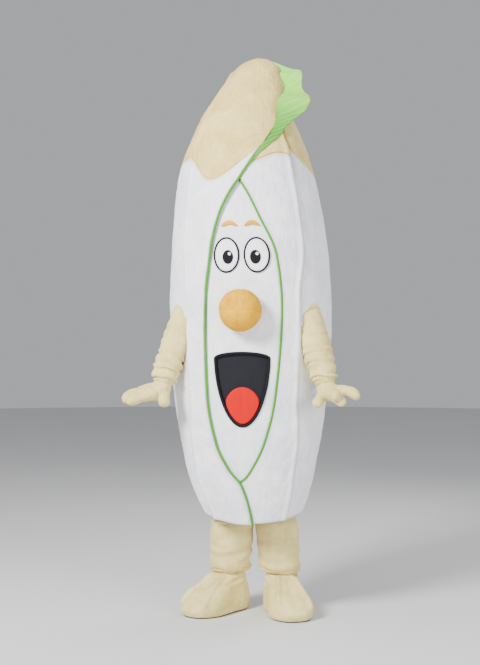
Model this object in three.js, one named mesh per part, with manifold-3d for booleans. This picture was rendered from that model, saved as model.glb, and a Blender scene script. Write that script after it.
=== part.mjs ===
// A plush mascot costume shaped like a head of Belgian endive, standing as it is worn.
// Millimetres, +Z up, the face towards -Y, +X on the wearer's left.
// The origin is on the floor, under the middle of the costume's overall box.
import * as THREE from "three";
import { mergeVertices } from "three/addons/utils/BufferGeometryUtils.js";
import Module from "manifold-3d";

const wasm = await Module();
wasm.setup();

// ---------- driving dimensions ----------
const HEM_Z = 400; // the body's lower edge above the floor
const HEM_RISE = 24; // how far that edge rises at the wearer's sides
const BODY_DEPTH = 0.97; // the body's depth over its width
const BODY_SQUARENESS = 2.3; // exponent of the body's superellipse section, 2 is a plain ellipse
const FACE_RADIUS = 320; // distances across the face are measured round this radius

// The foam body's half width at each height, from the hem to the tip.
const BODY_PROFILE = new THREE.SplineCurve([
  new THREE.Vector2(178, HEM_Z),
  new THREE.Vector2(200, 452),
  new THREE.Vector2(216, 490),
  new THREE.Vector2(245, 580),
  new THREE.Vector2(273, 715),
  new THREE.Vector2(293, 850),
  new THREE.Vector2(309, 1020),
  new THREE.Vector2(317, 1200),
  new THREE.Vector2(314, 1370),
  new THREE.Vector2(302, 1535),
  new THREE.Vector2(280, 1700),
  new THREE.Vector2(243, 1860),
  new THREE.Vector2(176, 2020),
  new THREE.Vector2(110, 2150),
  new THREE.Vector2(80, 2206),
  new THREE.Vector2(42, 2239),
  new THREE.Vector2(8, 2249),
]);

const FOAM = 11; // thickness of the body's foam
const FOAM_PROUD = -1.5; // the foam's outer side lies this little inside the surface the leaves follow
const SHELL_TOP_Z = 2146; // the hollow foam ends here, and the stuffed tip begins
const LEAF = 5; // thickness of a plush leaf panel
// How far the inner side of each layer of leaves stands out of the foam.
const PROUD = { inner: 4, back: 13, leftFront: 12, rightFront: 22, rightFrontTip: 13.5, felt: 10.5 };
const EDGING_RADIUS = 4.5; // of the green cord round a leaf's edge

const RIDGE_ANGLE = 46; // of the front leaves' outer edges, degrees round from the middle of the face
const BACK_ANGLE = 128; // where the back leaves' outer edges lie
const OVERLAP_ANGLE = 6; // how far a leaf goes on under the next one
const ZIP_ANGLE = 178.4; // the two back leaves stop short of each other at the zip
const TIP_FOOT_Z = { leftFront: 1815, side: 1790, back: 1785, rightFront: 1740 }; // where the cream begins
const TIP_TOP_Z = 2140; // the top of the leaves under the hood

const SLEEVE = { wall: 5, root: 68, elbow: 58, wrist: 46, room: 9 };
const LEG = { x: 88, y: 34, wall: 5, crotchZ: 540, cuffZ: 165, waistZ: 985 };
const SEAT = { halfWidth: 168, halfDepth: 122 };
const BOOT = { x: 108, y: 70, sole: 9, top: 215, wall: 9, turn: { right: -37, left: 20 } };

const EYE = { across: 60, z: 1448, halfWidth: 45, halfHeight: 62, pupil: 21 };
const BROW = { across: 47, z: 1560, halfWidth: 34, rise: 14, thickness: 8 };
const NOSE = { z: 1235, radius: 82, centreOut: 44 };
const MOUTH = { z: 1050, halfWidth: 108, rise: 22, depth: 262 };

const COLOURS = {
  whitePlush: 0xf4f4f6, creamVelour: 0xe6dbb4, leafGreen: 0x86c25a, orangePlush: 0xf2a90a,
  blackFelt: 0x1e1e24, whiteFelt: 0xf6f6f8, redFelt: 0xe81414, greyFoam: 0xc9c9c4,
  blackRubber: 0x202022, webbing: 0x2b2b2e, hoop: 0xd8d8d2, zip: 0xe9e9e6, elastic: 0xd9cfa6,
};

const costume = new THREE.Group();

// ---------- small helpers ----------
const radians = THREE.MathUtils.degToRad;
const smooth = (x, from, to) => THREE.MathUtils.smoothstep(x, from, to);
const mix = THREE.MathUtils.lerp;

// Moves every vertex of a geometry to where place(x, y, z) says, and turns the faces outwards.
function shaped(geometry, place) {
  const position = geometry.getAttribute("position");
  for (let i = 0; i < position.count; i++) {
    const p = place(position.getX(i), position.getY(i), position.getZ(i));
    position.setXYZ(i, p.x, p.y, p.z);
  }
  return facingOut(geometry);
}

function facingOut(geometry) {
  const index = geometry.index.array;
  const position = geometry.getAttribute("position");
  const [a, b, c] = [new THREE.Vector3(), new THREE.Vector3(), new THREE.Vector3()];
  let volume = 0;
  for (let i = 0; i < index.length; i += 3) {
    a.fromBufferAttribute(position, index[i]);
    b.fromBufferAttribute(position, index[i + 1]);
    c.fromBufferAttribute(position, index[i + 2]);
    volume += a.dot(b.cross(c));
  }
  for (let i = 0; volume < 0 && i < index.length; i += 3) {
    [index[i + 1], index[i + 2]] = [index[i + 2], index[i + 1]];
  }
  return geometry;
}

// A closed geometry as a manifold-3d solid, and back.
function solid(geometry) {
  const bare = geometry.clone();
  bare.deleteAttribute("normal");
  bare.deleteAttribute("uv");
  const merged = mergeVertices(bare, 1e-3);
  const vertProperties = new Float32Array(merged.getAttribute("position").array);
  const triVerts = new Uint32Array(merged.index.array);
  return new wasm.Manifold(new wasm.Mesh({ numProp: 3, vertProperties, triVerts }));
}

function geometryOf(made) {
  const mesh = made.getMesh();
  const geometry = new THREE.BufferGeometry();
  geometry.setAttribute("position", new THREE.BufferAttribute(mesh.vertProperties, 3));
  geometry.setIndex(new THREE.BufferAttribute(mesh.triVerts, 1));
  return geometry;
}

const without = (geometry, ...cutters) =>
  geometryOf(cutters.reduce((left, cutter) => left.subtract(solid(cutter)), solid(geometry)));
const joined = (...geometries) => geometryOf(geometries.map(solid).reduce((all, one) => all.add(one)));

const FINISH = { roughness: 0.95, metalness: 0 };

function add(name, geometry, colour, finish = FINISH) {
  const mesh = new THREE.Mesh(geometry, new THREE.MeshStandardMaterial({ color: colour, ...finish }));
  mesh.name = name;
  costume.add(mesh);
  return mesh;
}

// Calls make(side, sign) for the wearer's right side, at -X, and for the left side, at +X.
const eachSide = (make) => [["right", -1], ["left", 1]].forEach(([side, sign]) => make(side, sign));

// ---------- the body's surface ----------
// How far the body's middle stands to the wearer's left at a height: the tip leans over, and the wearer
// stands a little to that side.
const LEGS_SHIFT = 11;
const lean = (z) =>
  LEGS_SHIFT * (1 - smooth(z, 400, 640)) - 17 * smooth(z, 1370, 1860) + 50 * smooth(z, 2000, 2240);

// The profile's parameter at a height, by halving.
function profileAt(z) {
  let [low, high] = [0, 1];
  for (let i = 0; i < 40; i++) {
    const middle = (low + high) / 2;
    if (BODY_PROFILE.getPoint(middle).y < z) low = middle;
    else high = middle;
  }
  return low;
}

// The point at an angle round from the middle of the face, at a profile parameter, proud of the foam.
function bodyPoint(angle, t, proud) {
  const p = BODY_PROFILE.getPoint(t);
  const along = BODY_PROFILE.getTangent(t);
  const halfWidth = p.x + proud * along.y;
  const halfDepth = p.x * BODY_DEPTH + proud * along.y;
  const [s, c] = [Math.sin(angle), Math.cos(angle)];
  const reach =
    ((Math.abs(s) / halfWidth) ** BODY_SQUARENESS + (Math.abs(c) / halfDepth) ** BODY_SQUARENESS) **
    (-1 / BODY_SQUARENESS);
  return new THREE.Vector3(lean(p.y) + reach * s, -reach * c, p.y - proud * along.x);
}

// The point at a distance across the face and a height, proud of the foam.
const facePoint = (across, z, proud) => bodyPoint(across / FACE_RADIUS, profileAt(z), proud);

// A value that changes smoothly with height, through [height, value] pairs.
function byHeight(...pairs) {
  const heights = pairs.map(([z]) => z);
  const values = pairs.map(([, value]) => value);
  const curve = new THREE.CubicInterpolant(heights, values, 1, new Float64Array(1));
  return (z) => curve.evaluate(THREE.MathUtils.clamp(z, heights[0], heights.at(-1)))[0];
}

// A panel that follows the body. Its foot and top depend on the share across it, its two edges are
// angles in degrees that depend on height, and proud(angle, z) is how far its inner side stands out.
function panel({ foot, top, from, to, proud, thickness = LEAF, columns = 8, rows = 14 }) {
  return shaped(new THREE.BoxGeometry(1, 1, 1, columns, rows, 1), (x, y, z) => {
    const across = x + 0.5;
    const height = mix(foot(across), top(across), y + 0.5);
    const angle = mix(from(height), to(height), across);
    return bodyPoint(radians(angle), profileAt(height), proud(angle, height) + (z + 0.5) * thickness);
  });
}

// A closed tube round a centre line: radius(s) at each share s of its length, in rounded sections.
function tube(points, radius, sides, steps, overrun = 0) {
  const line = new THREE.CatmullRomCurve3(points);
  const side = new THREE.Vector3(0, 1, 0);
  return shaped(new THREE.CylinderGeometry(1, 1, 1, sides, steps), (x, y, z) => {
    const share = y + 0.5;
    const along = line.getTangent(share);
    const first = new THREE.Vector3().crossVectors(along, side).normalize();
    const second = new THREE.Vector3().crossVectors(along, first);
    const r = radius(share);
    const past = share === 0 ? -overrun : share === 1 ? overrun : 0;
    return line.getPoint(share).addScaledVector(along, past)
      .addScaledVector(first, x * r).addScaledVector(second, z * r);
  });
}

// ---------- the arms' line ----------
const armPoint = (sign, [x, y, z]) => new THREE.Vector3(sign * x, y, z);
const ARM_LINE = [
  [168, -128, 1300], [223, -169, 1222], [270, -208, 1110], [304, -240, 1010], [319, -254, 952],
];

const sleeveRadius = (share) =>
  mix(mix(SLEEVE.root, SLEEVE.elbow, smooth(share, 0, 0.6)), SLEEVE.wrist, smooth(share, 0.6, 1));

// The sleeve's outside, grown by so much. The same shape with room to spare cuts the armhole.
const armTube = (sign, grow, overrun = 0) =>
  tube(ARM_LINE.map((p) => armPoint(sign, p)), (share) => sleeveRadius(share) + grow, 12, 9, overrun);
const armholeCutter = (sign) => armTube(sign, SLEEVE.room);

// ---------- the foam body ----------
// A closed block of the body's section between two heights, its ends flat. drop lowers its first ring.
function bodyBlock(low, high, proud, sides, rows, drop = 0) {
  const [from, to] = [profileAt(low), profileAt(high)];
  return shaped(new THREE.CylinderGeometry(1, 1, 1, sides, rows), (x, y, z) => {
    const t = mix(from, to, y + 0.5);
    const edge = bodyPoint(Math.atan2(x, -z), t, proud);
    if (y === -0.5) edge.z -= drop;
    const radial = Math.min(Math.hypot(x, z), 1);
    const middle = new THREE.Vector3(lean(BODY_PROFILE.getPoint(t).y), 0, edge.z);
    return middle.lerp(edge, radial);
  });
}

// A plate wrapped on the face: outline(x, y) turns a point of the unit disc into distance across and height.
function facePlate(outline, proud, thickness, cells = 5) {
  return shaped(new THREE.BoxGeometry(2, 2, 1, cells, cells, 1), (x, y, z) => {
    const [across, height] = outline(x * Math.sqrt(1 - (y * y) / 2), y * Math.sqrt(1 - (x * x) / 2));
    return facePoint(across, height, proud + (z + 0.5) * thickness);
  });
}

// A round cord laid on the face along the rim of the same kind of outline.
function faceRim(outline, radius, proud) {
  const [sides, steps] = [5, 26];
  return shaped(new THREE.TorusGeometry(1, 0.5, sides, steps), (x, y, z) => {
    const ring = Math.hypot(x, y);
    const [across, height] = outline(x / ring, y / ring);
    const [centreAcross, centreZ] = outline(0, 0);
    const reach = Math.hypot(across - centreAcross, height - centreZ);
    const out = 1 + (2 * (ring - 1) * radius) / reach;
    return facePoint(mix(centreAcross, across, out), mix(centreZ, height, out), proud + 2 * z * radius);
  });
}

// The open mouth's outline: a flat-topped half moon. grow makes it larger all round.
const mouthOutline = (grow) => (x, y) => [
  x * (MOUTH.halfWidth + grow),
  MOUTH.z + y * ((y > 0 ? MOUTH.rise : MOUTH.depth) + grow),
];
const ellipse = (across, z, halfWidth, halfHeight) => (x, y) => [across + x * halfWidth, z + y * halfHeight];

// A block cut straight through the panel and the foam behind an outline on the face.
const through = (outline, cells) => facePlate(outline, -40, 100, cells);

add("foam_body", without(
  bodyBlock(HEM_Z, SHELL_TOP_Z, FOAM_PROUD, 26, 15),
  bodyBlock(HEM_Z, SHELL_TOP_Z - 70, FOAM_PROUD - FOAM, 26, 13, 20),
  armholeCutter(-1),
  armholeCutter(1),
  through(mouthOutline(-6), 4),
  through(ellipse(-EYE.across, EYE.z, EYE.pupil - 6, EYE.pupil - 2), 2),
  through(ellipse(EYE.across, EYE.z, EYE.pupil - 6, EYE.pupil - 2), 2),
), COLOURS.greyFoam);

// ---------- the leaves ----------
// Where the front leaves' green edges run, degrees round from the middle of the face. They part to show
// the face, cross above it, and the right one runs on over the top as the hood's edge.
const rightLeafEdge = byHeight([380, 5], [554, -3], [620, -13], [720, -22], [900, -26.5], [1250, -26],
  [1450, -23], [1600, -16.5], [1690, -8], [1750, 0], [1842, 13.5], [1870, 18.5], [1932, 29.7],
  [1972, 38], [2047, 46], [2091, 54], [2120, 64], [2149, 74]);
const leftLeafEdge = byHeight([380, -6], [554, -5], [585, 2.5], [620, 8], [720, 17.5], [900, 24.5],
  [1250, 28],
  [1450, 25], [1600, 14.5], [1690, 7], [1750, 0], [1860, -12], [2146, -12]);
const hoodBackEdge = byHeight([1700, -46], [1860, -47], [1950, -48], [2050, -51], [2110, -58], [2146, -66]);

// The front leaves' outer edges draw in beside the arms.
const ridge = (z) => RIDGE_ANGLE - 4.5 * smooth(z, 700, 900) * (1 - smooth(z, 1290, 1480));
const innerFront = (z) => ridge(z) - OVERLAP_ANGLE * (1 - smooth(z, 1740, 1775)) + 0.7;
const scallop = (lowest, rise, middle = 0.5) => (across) => lowest + rise * (2 * (across - middle)) ** 2;
const level = (z) => () => z;
// The body's lower edge rises at the wearer's sides.
const hem = (from, to) => (across) =>
  HEM_Z + HEM_RISE * Math.sin(radians(mix(from(HEM_Z), to(HEM_Z), across))) ** 2;
const shifted = (line, by) => (across) => line(across) + by;
const SEAM = 1.9; // half the gap between a white leaf and its cream tip
const EDGED_ROWS = 18; // rows of a leaf that carries edging, which follows the same rows

// White leaf and cream tip, one above the other, meeting along a curved line.
function leaf(name, { line, top, whiteProud, tipProud = whiteProud, holes = [], columns, rows = 11,
  tipColumns = columns, tipRows = 6, ...edges }) {
  const [whiteTop, creamFoot] = [shifted(line, -SEAM), shifted(line, SEAM)];
  const foot = hem(edges.from, edges.to);
  const white = panel({ ...edges, foot, top: whiteTop, proud: whiteProud, columns, rows });
  const tip = { foot: creamFoot, top, proud: tipProud, columns: tipColumns, rows: tipRows };
  const cream = panel({ ...edges, ...tip });
  add(name, holes.length ? without(white, ...holes) : white, COLOURS.whitePlush);
  add(name + "_tip", cream, COLOURS.creamVelour);
}

const settle = (z) => smooth(z, 1835, 1990); // the layers close up towards the tip
const rightFrontProud = (angle, z) =>
  mix(mix(PROUD.leftFront, PROUD.rightFront, smooth(angle, -35, -8)), PROUD.rightFrontTip, settle(z));

const rightTipLine = scallop(TIP_FOOT_Z.rightFront, 80, 0.39);
const leftTipLine = (across) => TIP_FOOT_Z.leftFront + 30 * smooth(across, 0.4, 0.8);
leaf("right_front_leaf", {
  line: rightTipLine, top: level(SHELL_TOP_Z), columns: 6, rows: EDGED_ROWS,
  tipColumns: 14, tipRows: 10,
  from: (z) => (z < 1700 ? -ridge(z) : hoodBackEdge(z)), to: rightLeafEdge, whiteProud: rightFrontProud,
});
leaf("left_front_leaf", {
  line: leftTipLine, top: level(TIP_TOP_Z), columns: 6, rows: EDGED_ROWS,
  from: leftLeafEdge, to: ridge, whiteProud: () => PROUD.leftFront,
  tipProud: (angle, z) => mix(PROUD.leftFront, PROUD.inner, settle(z)),
});
eachSide((side, sign) => {
  leaf(`${side}_side_leaf`, {
    line: scallop(TIP_FOOT_Z.side, 55), top: level(TIP_TOP_Z), columns: 8,
    rows: 13,
    from: (z) => sign * innerFront(z), to: () => sign * (BACK_ANGLE - 1), whiteProud: () => PROUD.inner,
    holes: [armholeCutter(sign)],
  });
  leaf(`${side}_back_leaf`, {
    line: scallop(TIP_FOOT_Z.back, 45), top: level(TIP_TOP_Z), columns: 5,
    rows: 14,
    from: () => sign * (BACK_ANGLE - OVERLAP_ANGLE), to: () => sign * ZIP_ANGLE,
    whiteProud: (angle) => mix(PROUD.back, PROUD.inner, smooth(Math.abs(angle), 132, 150)),
  });
});

add("face_leaf", without(
  panel({
    foot: level(540), top: level(1765), columns: 7, rows: 10,
    from: (z) => rightLeafEdge(z) - 5, to: (z) => leftLeafEdge(z) + 5, proud: () => PROUD.inner,
  }),
  through(mouthOutline(0), 5),
  through(ellipse(-EYE.across, EYE.z, EYE.pupil - 5, EYE.pupil - 1), 2),
  through(ellipse(EYE.across, EYE.z, EYE.pupil - 5, EYE.pupil - 1), 2),
), COLOURS.whitePlush);

// The stuffed tip under the hood's top.
add("tip_pad", bodyBlock(SHELL_TOP_Z + 3, 2248, PROUD.rightFrontTip + LEAF, 24, 7), COLOURS.creamVelour);

// ---------- green edging and frill ----------
const EDGING_GAP = 1; // between a leaf's cut edge and its cord
const FRILL_FOOT_Z = 1872;

// A cord along a leaf's edge, with a ring at each of the leaf's rows from first to last. It lies on the
// +X side of the edge, or on the -X side where sign is -1, and stops just short of its end rows.
function edging(edge, sign, proud, topZ, first, last) {
  const edgePoint = (row) => {
    const z = mix(HEM_Z, topZ, row / EDGED_ROWS);
    return bodyPoint(radians(edge(z)), profileAt(z), proud(edge(z), z) + LEAF / 2);
  };
  const count = last - first;
  return shaped(new THREE.CylinderGeometry(EDGING_RADIUS, EDGING_RADIUS, count, 6, count), (x, y, z) => {
    const row = THREE.MathUtils.clamp(first + y + count / 2, first + 0.05, last - 0.15);
    const p = edgePoint(row);
    const along = edgePoint(row + 0.3).sub(edgePoint(row - 0.3)).normalize();
    const outward = new THREE.Vector3(p.x, p.y, 0).normalize();
    const sideways = new THREE.Vector3().crossVectors(along, outward).normalize().multiplyScalar(sign);
    return p.addScaledVector(sideways, EDGING_RADIUS + EDGING_GAP + x).addScaledVector(outward, z);
  });
}

add("right_leaf_edging", edging(rightLeafEdge, 1, rightFrontProud, rightTipLine(1) - SEAM, 0, 18),
  COLOURS.leafGreen);
add("left_leaf_edging",
  edging(leftLeafEdge, -1, () => PROUD.leftFront, leftTipLine(0) - SEAM, 3, 16), COLOURS.leafGreen);

// The ruffled green margin of the hood. Its root runs up the hood's edge and over the tip.
const frillAngle = byHeight([1842, 15], [1870, 19.5], [1932, 31], [1972, 39.5], [2047, 47.5], [2091, 55.5],
  [2120, 65], [2149, 75], [2175, 62], [2205, 60], [2250, 54]);
// Its outer rim by share of the root's length: three lobes, the lowest one longest.
const frillRimX = byHeight([0, 93], [0.1, 125], [0.2, 152], [0.3, 182], [0.38, 207], [0.46, 238],
  [0.55, 250],
  [0.62, 245], [0.7, 222], [0.78, 212], [0.86, 214], [0.91, 206], [0.945, 160], [0.97, 110], [1, 92]);
const frillRimZ = byHeight([0, 1872], [0.1, 1908], [0.3, 1985], [0.46, 2043], [0.55, 2078], [0.7, 2124],
  [0.78, 2155], [0.86, 2190], [0.91, 2213], [0.945, 2221], [0.97, 2246], [1, 2252]);
const FRILL_TOP_Z = 2235;

function frillRoot(share) {
  const z = mix(FRILL_FOOT_Z, FRILL_TOP_Z, share);
  const angle = frillAngle(z) + 1.2;
  const proud = rightFrontProud(angle, z) + mix(LEAF / 2 + 2, LEAF + 6, smooth(z, 2070, SHELL_TOP_Z));
  return bodyPoint(radians(angle), profileAt(z), proud);
}

add("hood_frill", shaped(new THREE.BoxGeometry(1, 1, 1, 28, 3, 1), (x, y, z) => {
  const [share, out] = [x + 0.5, y + 0.5];
  const root = frillRoot(share);
  const [reach, rise] = [frillRimX(share) - root.x, frillRimZ(share) - root.z];
  const back = 0.22 * Math.hypot(reach, rise) * out + 7 * out * Math.sin(share * 27);
  return root.add(new THREE.Vector3(reach * out, back + z * LEAF, rise * out));
}), COLOURS.leafGreen);

// ---------- the face ----------
eachSide((side, sign) => {
  const across = sign * EYE.across;
  add(`${side}_eye`, facePlate(ellipse(across, EYE.z, EYE.halfWidth, EYE.halfHeight), PROUD.felt, 2.5),
    COLOURS.whiteFelt);
  add(`${side}_eye_rim`,
    faceRim(ellipse(across, EYE.z, EYE.halfWidth + 5, EYE.halfHeight + 5), 3, PROUD.felt + 2.5),
    COLOURS.blackFelt);
  const pupil = ellipse(across * 0.9, EYE.z - 8, EYE.pupil, EYE.pupil + 6);
  add(`${side}_pupil`, facePlate(pupil, PROUD.felt + 4, 2),
    COLOURS.blackFelt);
  add(`${side}_eye_glint`, facePlate(ellipse(across * 0.9 + 7, EYE.z + 4, 6, 6), PROUD.felt + 7.5, 1.5, 2),
    COLOURS.whiteFelt);
  add(`${side}_brow`, facePlate(
    (x, y) => [
      sign * BROW.across + x * BROW.halfWidth,
      BROW.z + BROW.rise * (1 - x * x) + y * BROW.thickness,
    ],
    PROUD.felt, 4), COLOURS.orangePlush);
});

// A ball flattened where it is sewn to the face.
function nose() {
  const back = -(317 * BODY_DEPTH + PROUD.felt + 1);
  return shaped(new THREE.SphereGeometry(NOSE.radius, 18, 12), (x, y, z) =>
    new THREE.Vector3(x, Math.min(y + back - NOSE.centreOut, back), z + NOSE.z));
}
add("nose", nose(), COLOURS.orangePlush);

add("mouth_mesh", facePlate(mouthOutline(10), 0.6, 1.2, 6), COLOURS.blackFelt);
add("mouth_lip", faceRim(mouthOutline(8), 4, PROUD.felt + 3.2), COLOURS.blackFelt);
add("tongue", geometryOf(solid(facePlate(mouthOutline(-5), 4.2, 3, 6)).intersect(
  solid(facePlate(ellipse(0, MOUTH.z - 215, 84, 105), -10, 40, 6)))), COLOURS.redFelt);

// ---------- sleeves and gloves ----------
eachSide((side, sign) => {
  add(`${side}_sleeve`, without(armTube(sign, 0), armTube(sign, -SLEEVE.wall, 12)), COLOURS.creamVelour);
});

// A digit's centre line from the palm to its tip, and its radius.
const DIGITS = {
  right: [[[-345, -262, 935], [-413, -280, 915], [-472, -292, 888], 22],
    [[-345, -282, 925], [-410, -305, 905], [-466, -316, 884], 21],
    [[-340, -298, 912], [-400, -328, 896], [-446, -340, 880], 20],
    [[-318, -268, 925], [-310, -290, 895], [-308, -302, 862], 23]],
  left: [[[348, -268, 924], [405, -290, 926], [448, -302, 900], 21],
    [[345, -282, 918], [358, -335, 915], [362, -372, 908], 20],
    [[345, -276, 910], [372, -318, 894], [392, -346, 882], 19],
    [[318, -268, 920], [298, -294, 892], [288, -312, 866], 21]],
};

// A stuffed digit with a round end, running from inside the palm.
function digit([root, knuckle, tip, radius]) {
  const end = 0.86; // the share of its length where the rounding starts
  const rounded = (past) => Math.sqrt(Math.max(1 - past ** 2, 0.04));
  const taper = (share) => (share < end ? 1 : rounded((share - end) / (1 - end)));
  const points = [root, knuckle, tip].map((p) => new THREE.Vector3(...p));
  return tube(points, (share) => radius * taper(share), 8, 6);
}

eachSide((side, sign) => {
  const wrist = [[306, -242, 1002], [319, -255, 955], [330, -266, 925]].map((p) => armPoint(sign, p));
  const palm = new THREE.SphereGeometry(1, 12, 8).scale(50, 41, 35)
    .rotateY(sign * 0.45).translate(sign * 334, -268, 922);
  const glove = joined(tube(wrist, () => 31, 12, 2), palm, ...DIGITS[side].map(digit));
  const hand = joined(tube(wrist, () => 26, 12, 2, 12),
    new THREE.SphereGeometry(1, 12, 8).scale(43, 34, 28)
      .rotateY(sign * 0.45).translate(sign * 334, -268, 922));
  add(`${side}_glove`, without(glove, hand), COLOURS.creamVelour);
});

// ---------- trousers and braces ----------
const LEG_TOP_Z = LEG.crotchZ - 0.4; // just under the seat's floor
const SEAT_FLOOR = 8; // thickness of the seat's floor, which the legs hang from
const legX = byHeight([LEG.cuffZ, 106], [250, 100], [340, 95], [393, 90], [430, LEG.x], [620, 86]);
const legY = byHeight([LEG.cuffZ, 70], [400, LEG.y], [470, LEG.y - 4], [620, 15]);
const legRadius = byHeight([LEG.cuffZ, 79.5], [250, 83], [340, 84], [372, 82], [393, 72.5],
  [430, 72.5], [620, 80]);

// One leg as a closed block between two heights. overrun draws its two end rings out.
function leg(sign, low, high, inset, overrun = 0) {
  return shaped(new THREE.CylinderGeometry(1, 1, 1, 16, 8), (x, y, z) => {
    const height = mix(low, high, y + 0.5);
    const r = legRadius(height) - inset;
    const past = y === -0.5 ? -overrun : y === 0.5 ? overrun : 0;
    return new THREE.Vector3(LEGS_SHIFT + sign * legX(height) + x * r, legY(height) + z * r, height + past);
  });
}

function seat(inset, low, high) {
  return new THREE.CylinderGeometry(1, 1, high - low, 22, 1).rotateX(Math.PI / 2)
    .scale(SEAT.halfWidth - inset, SEAT.halfDepth - inset, 1).translate(LEGS_SHIFT, 15, (low + high) / 2);
}

const legHole = (sign) => leg(sign, LEG.crotchZ - 2, LEG.crotchZ + 20, LEG.wall + 1, 4);
add("trousers", without(
  seat(0, LEG.crotchZ, LEG.waistZ),
  seat(LEG.wall, LEG.crotchZ + SEAT_FLOOR, LEG.waistZ + 10),
  legHole(-1),
  legHole(1),
), COLOURS.creamVelour);

eachSide((side, sign) => {
  add(`${side}_trouser_leg`, without(
    leg(sign, LEG.cuffZ, LEG_TOP_Z, 0),
    leg(sign, LEG.cuffZ, LEG_TOP_Z, LEG.wall, 10),
  ), COLOURS.creamVelour);
});

const band = (halfWidth, halfDepth, tubeRadius, z, y = 0) =>
  new THREE.TorusGeometry(halfWidth, tubeRadius, 5, 26)
    .scale(1, halfDepth / halfWidth, 1).translate(0, y, z);

add("waist_elastic", band(SEAT.halfWidth + 9, SEAT.halfDepth + 9, 7, LEG.waistZ - 14, 15)
  .translate(LEGS_SHIFT, 0, 0), COLOURS.elastic);

// A strap over the shoulder, lying in a plane across the body: an arch with straight legs.
function arch({ x, width, thickness, halfSpan, foot, spring, top, y = 0 }) {
  const outline = new THREE.Shape();
  const inner = halfSpan - thickness;
  outline.moveTo(-halfSpan, foot).lineTo(-halfSpan, spring);
  outline.absellipse(0, spring, halfSpan, top - spring, Math.PI, 0, true);
  outline.lineTo(halfSpan, foot).lineTo(inner, foot).lineTo(inner, spring);
  outline.absellipse(0, spring, inner, top - spring - thickness, 0, Math.PI, false);
  outline.lineTo(-inner, foot).closePath();
  const strap = new THREE.ExtrudeGeometry(outline, { depth: width, bevelEnabled: false, curveSegments: 9 });
  strap.rotateX(Math.PI / 2).rotateZ(Math.PI / 2).translate(x - width / 2, y, 0);
  return strap;
}

eachSide((side, sign) => {
  add(`${side}_brace`, arch({ x: LEGS_SHIFT + sign * 55, width: 36, thickness: 3, halfSpan: 146, foot: 945,
    spring: 1150, top: 1372, y: 15 }), COLOURS.webbing);
  add(`${side}_shoulder_strap`, arch({ x: sign * 106, width: 56, thickness: 10, halfSpan: 266, foot: 1165,
    spring: 1200, top: 1408 }), COLOURS.webbing);
});

// ---------- hoops that hold the body open ----------
const HOOP_TUBE = 6;
Object.entries({ hem: 470, hip: 930, chest: 1345, crown: 1600 }).forEach(([name, z]) => {
  const halfWidth = BODY_PROFILE.getPoint(profileAt(z)).x - FOAM - HOOP_TUBE - 7;
  const hoop = band(halfWidth, halfWidth * BODY_DEPTH, HOOP_TUBE, z).translate(lean(z), 0, 0);
  add(`${name}_hoop`, hoop, COLOURS.hoop, { roughness: 0.5, metalness: 0 });
});

// ---------- boots ----------
// The boot's reach forward, backward and sideways at each height.
const bootFront = byHeight([9, 238], [45, 245], [75, 224], [105, 172], [135, 106], [165, 63], [215, 60]);
const bootBack = byHeight([9, 89], [45, 94], [75, 90], [105, 80], [135, 70], [165, 61], [215, 58]);
const bootSide = byHeight([9, 71], [45, 76], [75, 74], [105, 71], [135, 67], [165, 61], [215, 58]);

// A closed block of the boot's shape between two heights. It is widest over the toes.
function bootBlock(low, high, inset, rows, drop = 0) {
  return shaped(new THREE.CylinderGeometry(1, 1, 1, 20, rows), (x, y, z) => {
    const height = mix(low, high, y + 0.5);
    const forward = z * ((z > 0 ? bootFront(height) : bootBack(height)) - inset);
    const spread = 1 + 0.5 * smooth(forward, 20, 190) - 0.04 * smooth(-forward, 0, 80);
    const square = z > 0 ? Math.sign(x) * Math.abs(x) ** 0.72 * Math.hypot(x, z) ** 0.28 : x;
    const lift = y === 0.5 ? drop : 0;
    return new THREE.Vector3(square * (bootSide(height) * spread - inset), -forward, height + lift);
  });
}

eachSide((side, sign) => {
  const place = (geometry) =>
    geometry.rotateZ(radians(BOOT.turn[side])).translate(LEGS_SHIFT + sign * BOOT.x, BOOT.y, 0);
  add(`${side}_boot`, place(without(
    bootBlock(BOOT.sole, BOOT.top, 0, 7),
    bootBlock(BOOT.sole + 9, BOOT.top, BOOT.wall, 7, 12),
  )), COLOURS.creamVelour);
  add(`${side}_sole`, place(bootBlock(0, BOOT.sole - 1, 2, 1)), COLOURS.blackRubber);
});

// ---------- back zip ----------
const zipPoint = (x, z, proud) => bodyPoint(Math.PI + x / FACE_RADIUS, profileAt(z), proud);
const onBack = (width, low, high, proud, thickness, rows) =>
  shaped(new THREE.BoxGeometry(1, 1, 1, 2, rows, 1), (x, y, z) =>
    zipPoint(x * width, mix(low, high, y + 0.5), proud + (z + 0.5) * thickness));
add("back_zip", onBack(30, HEM_Z + 40, 1760, 0.7, 1.3, 14), COLOURS.zip);
add("zip_slider", onBack(9, 1722, 1748, 3.6, 6, 1), COLOURS.hoop, { roughness: 0.4, metalness: 0.8 });
add("zip_pull", onBack(6, 1672, 1719, 4.5, 3, 2), COLOURS.hoop, { roughness: 0.4, metalness: 0.8 });

// ---------- the frame ----------
// The floor and the middle of the overall box are brought to the origin.
const bounds = new THREE.Box3().setFromObject(costume);
const middle = bounds.getCenter(new THREE.Vector3());
costume.position.set(-middle.x, -middle.y, -bounds.min.z);

export default costume;
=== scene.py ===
"""The looks of a plush mascot costume shaped like a head of Belgian endive.

Lengths in the formulas are millimetres from the body's axis and the floor; make_mesh brings every piece
into the frame's metres. +Z is up, the face looks towards -Y, and +X is on the wearer's left.
"""

import math

import bmesh
import bpy
import numpy as np
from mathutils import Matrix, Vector
from mathutils.kdtree import KDTree


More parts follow.
